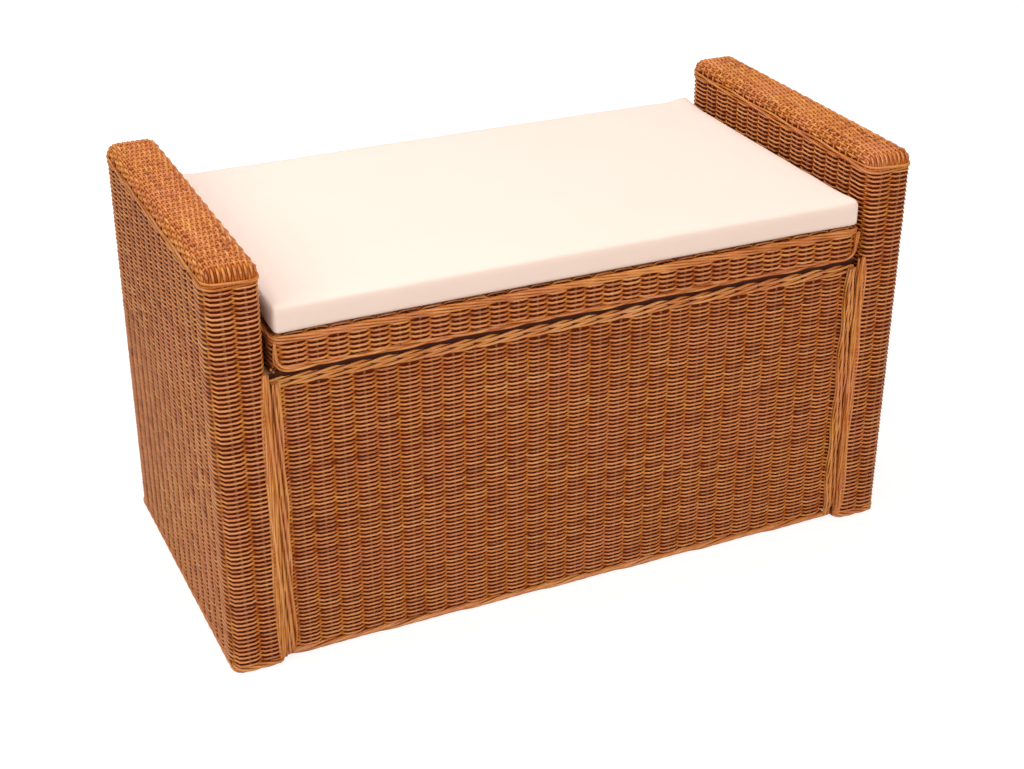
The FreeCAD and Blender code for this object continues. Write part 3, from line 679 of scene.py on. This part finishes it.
print("panels")
flatBundle = {"flat": 1.0, "crossing": 2.0, "wander": 0.8 * mm}
panel = {
    "pitch": 2.95 * mm, "stakePitch": 30 * mm, "tuck": 2 * mm,
    "coreFoot": 1 * mm, "coreRise": {"front": 19 * mm, "back": 15 * mm},
    "browProud": 0.8 * mm, "browFoot": 14 * mm, "browRise": {"front": 20.2 * mm, "back": 15 * mm},
    "sideRope": bundle(8, 6.2, 2.8, 190, 1.65, **flatBundle),
    "sideDepths": (3.4 * mm, 8.2 * mm), "sideFootDepth": 2.6 * mm, "sideFoot": (7 * mm, 26 * mm),
    "sideTopDrop": 6 * mm, "sideOffset": 1 * mm,
    "footRope": bundle(6, 3.9, 2.8, 120, 2.0, flat=0.35), "footHeight": 6 * mm, "footInset": 1 * mm,
    "topRope": bundle(3, 2.5, 2.6, 105, 1.9), "topDrops": (5.8 * mm, 13 * mm), "topInset": 2 * mm,
}


def buildPanel(name, sign, seed):
    low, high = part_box(f"{name}_weave")
    edgeLow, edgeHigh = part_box(f"{name}_border")
    middleY = (low.y + high.y) / 2
    outward = Vector((0, sign, 0))

    # weavers run straight across and end behind the side borders
    stakePitch = panel["stakePitch"]
    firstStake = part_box(f"{name}_stakes")[0].x + strand["stakeRadius"]
    most = -2 * math.floor(low.x / stakePitch)
    bends = [firstStake + (k + stop) * stakePitch for k in range(-1, most) for stop in strand["stops"]]
    xs = [low.x - panel["tuck"], *[x for x in bends if low.x < x < high.x], high.x + panel["tuck"]]
    path = weaverPath([(Vector((x, middleY, 0)), outward, (x - firstStake) / stakePitch, 1.0, 0.0)
                       for x in xs], (0, 0, 1))
    count = round((high.z - low.z) / panel["pitch"])
    rows = levelRows(low.z, (high.z - low.z) / count, count)
    # the core is a dark sheet inside the wall, painted shade; the brow, a darker sheet in the gap under
    # the lid, is a painted shadow
    core = flatCore((low.x, high.x), middleY, panel["coreFoot"], high.z + panel["coreRise"][name])
    browShade = flatCore((-edgeHigh.x, edgeHigh.x), middleY + sign * panel["browProud"],
                    high.z + panel["browFoot"], high.z + panel["browRise"][name], gapShadowCane)
    piece = joined(f"{name}_panel_weave", [weave("panel_weave", path, rows, count, seed), core, browShade])
    settle(piece, "bench", "wicker", f"{name}_weave")

    # the borders: two flat bundles up each side, one rope along the foot and two along the top
    sideX = (edgeHigh.x + high.x) / 2 - panel["sideOffset"]
    low0, low1 = panel["sideFoot"]
    sides = []
    for way in (-1, 1):
        for depth in panel["sideDepths"]:
            bottomY, y = middleY + sign * panel["sideFootDepth"], middleY + sign * depth
            sides.append(ropeLine([(way * sideX, bottomY, low0), (way * sideX, y, low1),
                                   (way * sideX, y, edgeHigh.z - panel["sideTopDrop"])],
                                  outward, 9 * mm, (1, 0.8), 30 * mm))

    def level(z, inset, ends=(1.0, 1.0)):
        return ropeLine([(edgeLow.x + inset, middleY, z), (edgeHigh.x - inset, middleY, z)],
                        outward, 5 * mm, ends)

    foot = [level(panel["footHeight"], panel["footInset"])]
    top = [level(edgeHigh.z - drop, panel["topInset"], (0.4, 0.4)) for drop in panel["topDrops"]]
    parts = [rope("side_border", sides, panel["sideRope"], seed + 1),
             rope("foot_border", foot, panel["footRope"], seed + 2),
             rope("top_border", top, panel["topRope"], seed + 3)]
    settle(joined(f"{name}_panel_borders", parts), "bench", "wicker", f"{name}_border")


buildPanel("front", -1, 1.0)
buildPanel("back", 1, 11.0)


print("arms")
arm = {
    "pitch": 3.2 * mm, "cornerRadius": 13 * mm, "wall": 5 * mm, "stakePitch": 30 * mm,
    "stakes": (15, 2), "wideGap": 30.4 * mm, "coreSteps": 72, "coreFoot": 1 * mm, "coreRise": 12 * mm,
    "capPitch": 3.35 * mm, "capStakePitch": 15 * mm, "capTuck": (9 * mm, 4.5 * mm), "capBends": 4,
    "capWeave": {"droop": 0.0, "wander": 1.6 * mm, "jitter": 0.6 * mm, "swing": 1.6 * mm,
                 "strandRadius": 1.8 * mm, "crispness": 1.0},
    "ribTuck": 8 * mm, "bandSkin": 2.4 * mm,
    "band": bundle(3, 4.2, 0.4, 120, 1.6, flat=1.0), "foot": bundle(4, 3.0, 3.0, 85, 1.95),
    "trimFoot": 2.5 * mm, "trimWide": bundle(6, 6.6, 1.1, 210, 1.6, **flatBundle),
    "wideIn": 7.2 * mm, "wideBack": 4.2 * mm, "wideBend": (3 * mm, 18 * mm),
    "trimDeep": bundle(3, 3.0, 0.5, 150, 1.5, **{**flatBundle, "wander": 0.5 * mm}),
    "deepIn": 1.9 * mm, "deepBack": 7.6 * mm, "deepTopDrop": 3 * mm, "trimTaper": 35 * mm,
}


def weaveArmWalls(name, ring, seed):
    low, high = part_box(f"{name}_arm_weave")
    places = [(number, arm["stakePitch"]) for number in arm["stakes"]] * 2
    count = round((high.z - low.z) / arm["pitch"] / 4) * 2  # rows in each half
    pitch = (high.z - low.z) / count / 2
    split = low.z + count * pitch
    for part, first, bottom, top, partSeed in (
            ("lower", 0, arm["coreFoot"], split, seed),
            ("upper", count, split, high.z + arm["coreRise"], seed + 0.37)):
        path = ringWeaver(ring, places, arm["wideGap"])
        wall = weave("wall", path, levelRows(low.z, pitch, count, first), count, partSeed)
        # the core is a dark sheet inside the wall: painted shade
        core = ringCore(ring, arm["coreSteps"], bottom, top)
        piece = joined(f"{name}_arm_wall_{part}", [wall, core])
        settle(piece, "bench", "wicker", f"{name}_arm_weave")


def weaveArmCap(name, ring, seed):
    # lengthwise weavers that fold over both ends of the arm and tuck behind the band
    radius = arm["cornerRadius"]
    x0, x1, y0, y1 = ring[0] + radius, ring[1] - radius, ring[2] + radius, ring[3] - radius
    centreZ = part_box(f"{name}_arm_top_weave")[1].z - arm["wall"] - radius
    arc = radius * math.pi / 2
    around = 2 * arc + (x1 - x0)
    count = round(around / arm["capPitch"])
    shifts, sides, leans, folds = [], [], [], []
    for k in range(count):
        u = (k + 0.5) * around / count
        edge, way = (x0, -1) if u < around / 2 else (x1, 1)
        angle = min(min(u, around - u) / radius, math.pi / 2)
        flatX = x0 + u - arc if arc <= u <= around - arc else edge
        shifts.append(Vector((flatX + way * radius * math.cos(angle), 0, centreZ)))
        sides.append(Vector((way * math.cos(angle), 0, 0)))
        leans.append(math.sin(angle))
        folds.append(radius * math.sin(angle))

    stakePitch = arm["capStakePitch"]
    firstStake = -math.floor(-y0 / stakePitch) * stakePitch

    def step(y, z, outward, distance, give=1.0):
        return Vector((0, y, z)), Vector(outward), (distance - firstStake) / stakePitch, give, \
            (1.0 - give) * 0.3

    def endSteps(y, way):  # from the tuck behind the band, up to where the top is level
        steps = [step(y, -drop, (0, way, 0), y + way * (arc + drop), 0.1) for drop in arm["capTuck"]]
        for k in range(arm["capBends"]):
            share = k / arm["capBends"]
            outward = (0, way * math.cos(share * math.pi / 2), math.sin(share * math.pi / 2))
            steps.append(step(y, 0, outward, y + way * arc * (1 - share), 0.3 + 0.7 * share))
        return steps

    level = []
    y = y0
    while y < y1 + 1e-6:
        level.append(step(y, 0, (0, 0, 1), y))
        y += (y1 - y0) / round((y1 - y0) / stakePitch * 4)
    path = weaverPath([*endSteps(y0, -1), *level, *reversed(endSteps(y1, 1))], (1, 0, 0))
    rows = rowsObject(shifts, sides, leans, folds)
    cap = weave("cap", path, rows, count, seed + 3, **arm["capWeave"])

    ribs = []
    y = firstStake
    along = Vector((0, 1, 0))
    while y < y1:
        line = [Vector((ring[0], y, centreZ - arm["ribTuck"]))]
        line += arcPoints((x0, y, centreZ), (-1, 0, 0), (0, 0, 1), radius, 5)
        line += arcPoints((x1, y, centreZ), (0, 0, 1), (1, 0, 0), radius, 5)
        line.append(Vector((ring[1], y, centreZ - arm["ribTuck"])))
        ribs.append(ropeChain([(point, along, along, k * 0.01, 1.0) for k, point in enumerate(line)]))
        y += stakePitch
    piece = joined(f"{name}_arm_cap", [cap, rope("ribs", ribs, rib, seed + 4)])
    settle(piece, "bench", "wicker", f"{name}_arm_top_weave")


def edgeArm(name, sign, ring, seed):
    # the band round the top of the walls, and the foot border
    low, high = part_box(f"{name}_arm_top_band")
    skin = arm["bandSkin"]
    bandRing = insetRing(low, high, skin, arm["cornerRadius"] + arm["wall"] - skin)
    band = ringRope(f"{name}_arm_band", bandRing, [(low.z + high.z) / 2], 6 * mm, arm["band"], seed + 5)
    settle(band, "bench", "wicker", f"{name}_arm_top_band")
    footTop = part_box(f"{name}_arm_base_border")[1].z
    foot = ringRope(f"{name}_arm_foot", ring, [footTop / 2], 5 * mm, arm["foot"], seed + 6)
    settle(foot, "bench", "wicker", f"{name}_arm_base_border")

    # upright trims where the arm meets the panels: a wide bundle outside and a deep one within
    trims = []
    bottom = footTop - arm["trimFoot"]
    taper = arm["trimTaper"]
    for face, way in (("front", -1), ("back", 1)):
        low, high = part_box(f"{name}_arm_{face}_trim")
        inner = high.x if sign < 0 else low.x
        outer = high.y if way > 0 else low.y
        x, y = inner + sign * arm["wideIn"], outer - way * arm["wideBack"]
        bendY, bendZ = arm["wideBend"]
        wide = ropeLine([(x, y - way * bendY, bottom), (x, y, bottom + bendZ), (x, y, high.z)],
                        (0, way, 0), 9 * mm, (0.7, 0.25), taper)
        x, y = inner + sign * arm["deepIn"], outer - way * arm["deepBack"]
        deep = ropeLine([(x, y, bottom), (x, y, high.z - arm["deepTopDrop"])],
                        (-sign, 0, 0), 9 * mm, (1, 0.25), taper)
        trims.append(rope("wide", [wide], arm["trimWide"], seed + 7 + way))
        trims.append(rope("deep", [deep], arm["trimDeep"], seed + 9 + way))
    settle(joined(f"{name}_arm_trims", trims), "bench", "wicker",
           f"{name}_arm_front_trim", f"{name}_arm_back_trim")


def buildArm(name, sign, seed):
    ring = insetRing(*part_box(f"{name}_arm_weave"), arm["wall"], arm["cornerRadius"])
    weaveArmWalls(name, ring, seed)
    weaveArmCap(name, ring, seed)
    edgeArm(name, sign, ring, seed)


buildArm("left", -1, 21.0)
buildArm("right", 1, 41.0)


print("lid")
lid = {
    "wall": 5 * mm, "cornerRadius": 10 * mm, "edgeRadius": 5 * mm, "topInset": 4 * mm,
    "pitch": 3.1 * mm, "stakePitch": 30 * mm, "topWeave": {"droop": 0.0, "wander": 2.0 * mm},
    "sideStakes": [(17, 27 * mm), (30, 27 * mm * 0.995)] * 2, "sideRows": 10, "sideRadius": 1.7 * mm,
    "wideGap": 28 * mm, "coreSteps": 96, "coreDrop": 7.6 * mm, "coreRise": 3 * mm,
    "fasciaIn": 4.2 * mm, "fasciaFoot": 0.7 * mm, "fasciaDrop": 6 * mm,
    "edgeSkin": 2.4 * mm, "topRope": bundle(3, 2.0, 1.2, 110, 1.55, flat=0.3, material=cane),
    "topRises": (2.2 * mm, 6.2 * mm),
    "frontRope": bundle(3, 2.9, 1.5, 140, 1.7, flat=0.6, crossing=2.0, material=cane),
    "frontRise": 3 * mm, "frontIn": 3.6 * mm, "frontInset": 5 * mm, "frontBend": 16 * mm,
    "lowerRope": bundle(4, 4.0, 2.9, 90, 1.9), "lowerInset": 5 * mm, "lowerBend": 9 * mm,
    "lowerStart": 14 * mm, "hingeRoom": 4 * mm,
}


def buildLid(seed):
    low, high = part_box("lid_top_weave")
    ring = insetRing(low, high, lid["wall"], lid["cornerRadius"])
    topZ = high.z - lid["wall"]
    bend = lid["edgeRadius"]
    x0, x1 = ring[0] + bend, ring[1] - bend
    y0, y1 = ring[2] + lid["topInset"], ring[3] - lid["topInset"]

    # the top: weavers across the width over stakes that run front to back
    stakePitch = lid["stakePitch"]
    stakeCount = 2 * math.floor(x1 / stakePitch) + 1
    firstStake = -(stakeCount - 1) / 2 * stakePitch
    fine = stakePitch / 3
    bends = [(x0, (-1, 0, 0), 0.2), (x0, (-0.71, 0, 0.71), 0.5)]
    x = firstStake - math.floor((firstStake - x0) / fine) * fine
    while x < x1:
        bends.append((x, (0, 0, 1), 1.0))
        x += fine
    bends += [(x1, (0.71, 0, 0.71), 0.5), (x1, (1, 0, 0), 0.2)]
    path = weaverPath([(Vector((x, 0, 0)), Vector(outward), (x - firstStake) / stakePitch, give, 0.0)
                       for x, outward, give in bends], (0, 1, 0))
    count = round((y1 - y0) / lid["pitch"])
    ys = [y0 + (k + 0.5) * (y1 - y0) / count for k in range(count)]
    rows = rowsObject([Vector((0, y, topZ - bend)) for y in ys], folds=[bend] * count)
    top = weave("lid_top_weavers", path, rows, count, seed, **lid["topWeave"])
    settle(top, "lid", "wicker", "lid_top_weave")

    # the sides: weavers round the edge
    sideLow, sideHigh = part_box("lid_side_weave")
    edgeLow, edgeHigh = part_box("lid_border")
    count = lid["sideRows"]
    rows = levelRows(sideLow.z, (sideHigh.z - sideLow.z) / count, count)
    path = ringWeaver(ring, lid["sideStakes"], lid["wideGap"])
    sides = weave("sides", path, rows, count, seed + 1, strandRadius=lid["sideRadius"])
    # the core is a dark sheet inside the side wall, painted shade; the fascia, a darker sheet in the
    # slot along the lid's front, is a painted shadow
    core = ringCore(ring, lid["coreSteps"], sideLow.z - lid["coreDrop"], sideHigh.z + lid["coreRise"])
    slotShade = flatCore(ring[:2], ring[2] + lid["fasciaIn"], edgeLow.z + lid["fasciaFoot"],
                      sideLow.z - lid["fasciaDrop"], gapShadowCane)
    settle(joined("lid_side_weavers", [sides, core, slotShade]), "lid", "wicker", "lid_side_weave")

    # the stakes of the top and the sides
    stakes = []
    for k in range(stakeCount):
        x = firstStake + k * stakePitch
        stakes.append(ropeLine([(x, y0 - 2 * mm, topZ), (x, y1 + 2 * mm, topZ)], (0, 0, 1), 60 * mm))
    for mark in ringMarks(ring, lid["sideStakes"]):
        point, normal = ringPoint(ring, mark)
        stakes.append(ropeLine([(point.x, point.y, sideLow.z - 4 * mm),
                                (point.x, point.y, sideHigh.z + 1 * mm)], normal, 20 * mm))
    settle(rope("lid_stake_rods", stakes, rib, seed + 2, sides=8, material=rod), "lid", "stake_cane")

    # the edges: two ropes round the top, a bundle that frames the front, and the lower border
    skin = lid["edgeSkin"]
    topRing = insetRing(low, high, skin, lid["cornerRadius"] + lid["wall"] - skin)
    parts = [ringRope("top_edge", topRing, [sideHigh.z + rise for rise in lid["topRises"]], 6 * mm,
                      lid["topRope"], seed + 3)]
    middle = (edgeLow.z + edgeHigh.z) / 2
    radius = lid["frontBend"]
    frontY = edgeLow.y + lid["frontIn"]
    left, right = edgeLow.x + lid["frontInset"], edgeHigh.x - lid["frontInset"]
    topOfFrame = sideHigh.z + 2 * mm
    bendZ = middle + lid["frontRise"] + radius
    line = [Vector((left, frontY, topOfFrame))]
    line += arcPoints((left + radius, frontY, bendZ), (-1, 0, 0), (0, 0, -1), radius, 6)
    line += arcPoints((right - radius, frontY, bendZ), (0, 0, -1), (1, 0, 0), radius, 6)
    line.append(Vector((right, frontY, topOfFrame)))
    parts.append(rope("front_frame", [ropeLine(line, (0, -1, 0), 5 * mm)], lid["frontRope"], seed + 4))

    # the lower border leaves room for the hinges
    backY, sideX = edgeHigh.y - lid["lowerInset"], edgeHigh.x - lid["lowerInset"]
    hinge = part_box("right_hinge_lid_leaf")
    gap0, gap1 = hinge[0].x - lid["hingeRoom"], hinge[1].x + lid["hingeRoom"]
    corner = lid["lowerBend"]
    lower = []
    for way in (-1, 1):
        def outward(point):
            return Vector((way, 0, 0) if abs(point.y - backY) > 4 * mm else (0, 1, 0))

        run = [Vector((way * sideX, edgeLow.y + lid["lowerStart"], middle))]
        centre = (way * (sideX - corner), backY - corner, middle)
        run += arcPoints(centre, (way, 0, 0), (0, 1, 0), corner, 5)
        run.append(Vector((way * gap1, backY, middle)))
        lower.append(ropeLine(run, outward, 5 * mm, side=(0, 0, 1)))
    lower.append(ropeLine([(-gap0, backY, middle), (gap0, backY, middle)], (0, 1, 0), 5 * mm,
                          side=(0, 0, 1)))
    parts.append(rope("lower_edge", lower, lid["lowerRope"], seed + 5))
    settle(joined("lid_edges", parts), "lid", "wicker", "lid_border")


buildLid(61.0)


print("cushion")
cushionLook = {
    "inset": 3 * mm, "voxel": 5.2 * mm, "pressure": 4.0, "frames": 20, "swell": 3.6 * mm,
    "edge": 5 * mm, "corner": 6 * mm, "crown": 3 * mm, "crownDrop": 1.5 * mm, "backCornerRise": 7 * mm,
    "frontCornerRise": 3.5 * mm, "waist": 3 * mm, "overhang": 4.5 * mm, "leftDroop": 5 * mm,
    "rightDroop": 2 * mm, "hem": 1.6 * mm, "backWave": 1.5 * mm, "fill": 0.85,
}


def cushionStart(low, high):
    # a plain pad with rounded corners and rims, remeshed evenly
    look = cushionLook
    mesh = bpy.data.meshes.new("cushion_start")
    block = bmesh.new()
    bmesh.ops.create_cube(block, size=1.0)
    size = high - low - Vector((2, 2, 1)) * look["inset"]
    middle = (low + high) / 2
    middle.z = low.z + size.z / 2 + 0.2 * mm
    for vert in block.verts:
        vert.co = Vector([vert.co[i] * size[i] + middle[i] for i in range(3)])

    for upright, offset in ((True, look["corner"]), (False, look["edge"])):
        sharp = [edge for edge in block.edges if edge.calc_face_angle(0) > 1
                 and (abs(edge.verts[0].co.z - edge.verts[1].co.z) > 1e-6) == upright]
        bmesh.ops.bevel(block, geom=sharp, offset=offset, segments=4, profile=0.5, affect="EDGES")
    bmesh.ops.recalc_face_normals(block, faces=block.faces)
    block.to_mesh(mesh)
    block.free()
    pad = placed("cushion_start", mesh)
    remesh = pad.modifiers.new("remesh", "REMESH")
    remesh.mode = "VOXEL"
    remesh.voxel_size = look["voxel"]
    even = finishedMesh(pad)
    bpy.data.objects.remove(pad)
    return placed("cushion_soft", even)


def swollen(soft):
    # where the points go when the cover is blown up a little
    cloth = soft.modifiers.new("cloth", "CLOTH")
    cloth.settings.use_pressure = True
    cloth.settings.uniform_pressure_force = cushionLook["pressure"]
    cloth.settings.effector_weights.gravity = 0.0
    cloth.settings.quality = 4
    scene = bpy.context.scene
    scene.frame_start, scene.frame_end = 1, cushionLook["frames"]
    cloth.point_cache.frame_start, cloth.point_cache.frame_end = 1, cushionLook["frames"]
    for step in range(1, cushionLook["frames"] + 1):
        scene.frame_set(step)
    mesh = finishedMesh(soft)
    moved = [vert.co.copy() for vert in mesh.vertices]
    soft.modifiers.remove(cloth)
    bpy.data.meshes.remove(mesh)
    scene.frame_set(1)
    return moved


def rumpleCushion(mesh, moved, low, high):
    # crown, soft rumples, corners that rise, a waist at the sides and a front that hangs over the lid
    look = cushionLook
    half = (high - low) / 2
    centre = (high + low) / 2
    for vert, after in zip(mesh.vertices, moved):
        step = after - vert.co
        if step.length > look["swell"]:
            step = step.normalized() * look["swell"]
        point = vert.co + step
        u, v = (point.x - centre.x) / half.x, (point.y - centre.y) / half.y
        up = max(0.0, min(1.0, (point.z - low.z) / (high.z - low.z)))
        bulge = max(0.0, 1 - u * u) * max(0.0, 1 - v * v)
        rumple = noise.noise(Vector((point.x * 9, point.y * 9, 3.0))) * 0.7 * mm
        rumple += noise.noise(Vector((point.x * 26, point.y * 26, 7.0))) * 0.3 * mm
        back = max(0.0, (v - 0.75) * 4) * max(0.0, (abs(u) - 0.9) * 10)
        point.z += up * (look["crown"] * bulge ** 0.5 - look["crownDrop"] + rumple
                         + back * look["backCornerRise"])
        if abs(u) > 0.9:
            point.x -= math.copysign(look["waist"] * (abs(u) - 0.9) * 10, u) * max(0.0, 1 - v * v)
        corner = max(0.0, (-v - 0.85) * 6.7) * max(0.0, (u - 0.88) * 8.3)
        point.z += up * corner * look["frontCornerRise"]
        if v < -0.9:
            hem = noise.noise(Vector((point.x * 7, 1.7, 9.0))) * look["hem"]
            lip = min(1.0, (-v - 0.9) * 12)
            point.y -= look["overhang"] * lip * (0.5 + 0.5 * u * u)
            droop = look["leftDroop"] + (look["rightDroop"] - look["leftDroop"]) * (u + 1) / 2
            if point.y < low.y:
                point.z -= (droop - hem) * lip * (1 - up * 0.8)
        if v > 0.9:
            point.y += noise.noise(Vector((point.x * 6, 4.4, 2.0))) * look["backWave"]
        if point.y > low.y - 1 * mm:
            point.z = max(point.z, low.z + 0.3 * mm)
        vert.co = point


def buildCushion():
    low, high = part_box("cushion_cover")
    soft = cushionStart(low, high)
    rumpleCushion(soft.data, swollen(soft), low, high)
    fine = soft.modifiers.new("fine", "SUBSURF")
    fine.levels = fine.render_levels = 1
    smooth = finishedMesh(soft)
    bpy.data.objects.remove(soft)
    smooth.name = "cushion"
    smooth.shade_smooth()
    smooth.materials.clear()
    smooth.materials.append(cottonMaterial("cream_cotton"))
    piece = placed("cushion", smooth)
    settle(piece, "cushion", "cushion_cotton", "cushion_cover", "cushion_foam")


buildCushion()


print("finishes")
timbers = {axis: woodMaterial(f"planed_timber_{axis}", "timber", axis) for axis in "xyz"}
finishes = {
    "stake_cane": rod,
    "plywood": woodMaterial("plywood_sheet", "plywood", "x"),
    "hinge_steel": steelMaterial("hinge_plating", steelLook["hinge"]),
    "screw_steel": steelMaterial("screw_plating", steelLook["screw"]),
    "wicker": cane,
}
kinds = {"_stakes": "stake_cane", "_screws": "screw_steel", "hinge": "hinge_steel",
         "lid_board": "plywood", "floor_panel": "plywood"}

for name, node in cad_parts.items():
    if node.hide_render:
        continue
    low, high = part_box(name)
    spans = high - low
    longest = "xyz"[max(range(3), key=lambda i: spans[i])]
    kind = next((kind for part, kind in kinds.items() if part in name), "timber")
    finish = timbers[longest] if kind == "timber" else finishes[kind]
    if not node.material_slots:
        node.data.materials.append(finish)
    for holder in node.material_slots:
        holder.material = finish


print("studio")
studio = {"floorSize": 60.0, "world": 0.27, "overhead": 74.0, "key": 31.0, "fill": 46.0, "lamp": 9.0}
white = (1, 1, 1, 1)

floorMesh = bpy.data.meshes.new("studio_floor")
reach = studio["floorSize"] / 2
corners = [(-reach, -reach, 0), (reach, -reach, 0), (reach, reach, 0), (-reach, reach, 0)]
floorMesh.from_pydata(corners, [], [(0, 1, 2, 3)])
floorMesh.materials.append(floorMaterial())
floor = placed("studio_floor", floorMesh)

world = bpy.data.worlds.new("studio_world")
world.use_nodes = True
world.node_tree.nodes.clear()
pen = Wire(world.node_tree)
seen = pen.node("ShaderNodeLightPath").other("Is Camera Ray")
strength = seen * (1.0 - studio["world"]) + studio["world"]
sky = pen.node("ShaderNodeBackground", None, {"Color": white, "Strength": strength})
leave = world.node_tree.nodes.new("ShaderNodeOutputWorld")
world.node_tree.links.new(sky.socket, leave.inputs["Surface"])
bpy.context.scene.world = world


def softbox(name, place, target, size, power, tint=(1.0, 0.97, 0.92)):
    light = bpy.data.lights.new(name, "AREA")
    light.shape = "SQUARE"
    light.size = size
    light.energy = power
    light.color = tint
    lamp = placed(name, light)
    lamp.location = place
    lamp.rotation_euler = (Vector(target) - Vector(place)).to_track_quat("-Z", "Y").to_euler()


softbox("overhead_light", (-0.3, 0.4, 2.7), (0, 0, 0.3), 3.2, studio["overhead"])
softbox("key_light", (-2.6, -0.4, 1.9), (-0.2, 0, 0.3), 1.4, studio["key"])
softbox("fill_light", (0.6, -2.9, 2.1), (0, 0, 0.3), 1.6, studio["fill"], (1.0, 0.92, 0.82))
softbox("lamp_light", (-0.55, -2.3, 1.8), (-0.1, -0.2, 0.35), 0.24, studio["lamp"], (1.0, 0.95, 0.9))

# the camera looks down from the front left
view = {"place": (-0.954, -2.087, 1.407), "turn": -24.74, "dip": 27.66, "roll": 0.18, "lens": 62.4}
turn, dip, roll = (math.radians(view[key]) for key in ("turn", "dip", "roll"))
back = Vector((math.sin(turn) * math.cos(dip), -math.cos(turn) * math.cos(dip), math.sin(dip)))
right = (-back).cross(Vector((0, 0, 1))).normalized()
up = right.cross(-back)
right, up = (right * math.cos(roll) + up * math.sin(roll), up * math.cos(roll) - right * math.sin(roll))
camera = bpy.data.cameras.new("camera")
camera.lens = view["lens"]
camera.sensor_width = 36.0
eye = placed("camera", camera)
facing = Matrix((right, up, back)).transposed().to_4x4()
eye.matrix_world = Matrix.Translation(Vector(view["place"])) @ facing
bpy.context.scene.camera = eye
bpy.context.scene.view_settings.view_transform = "Standard"
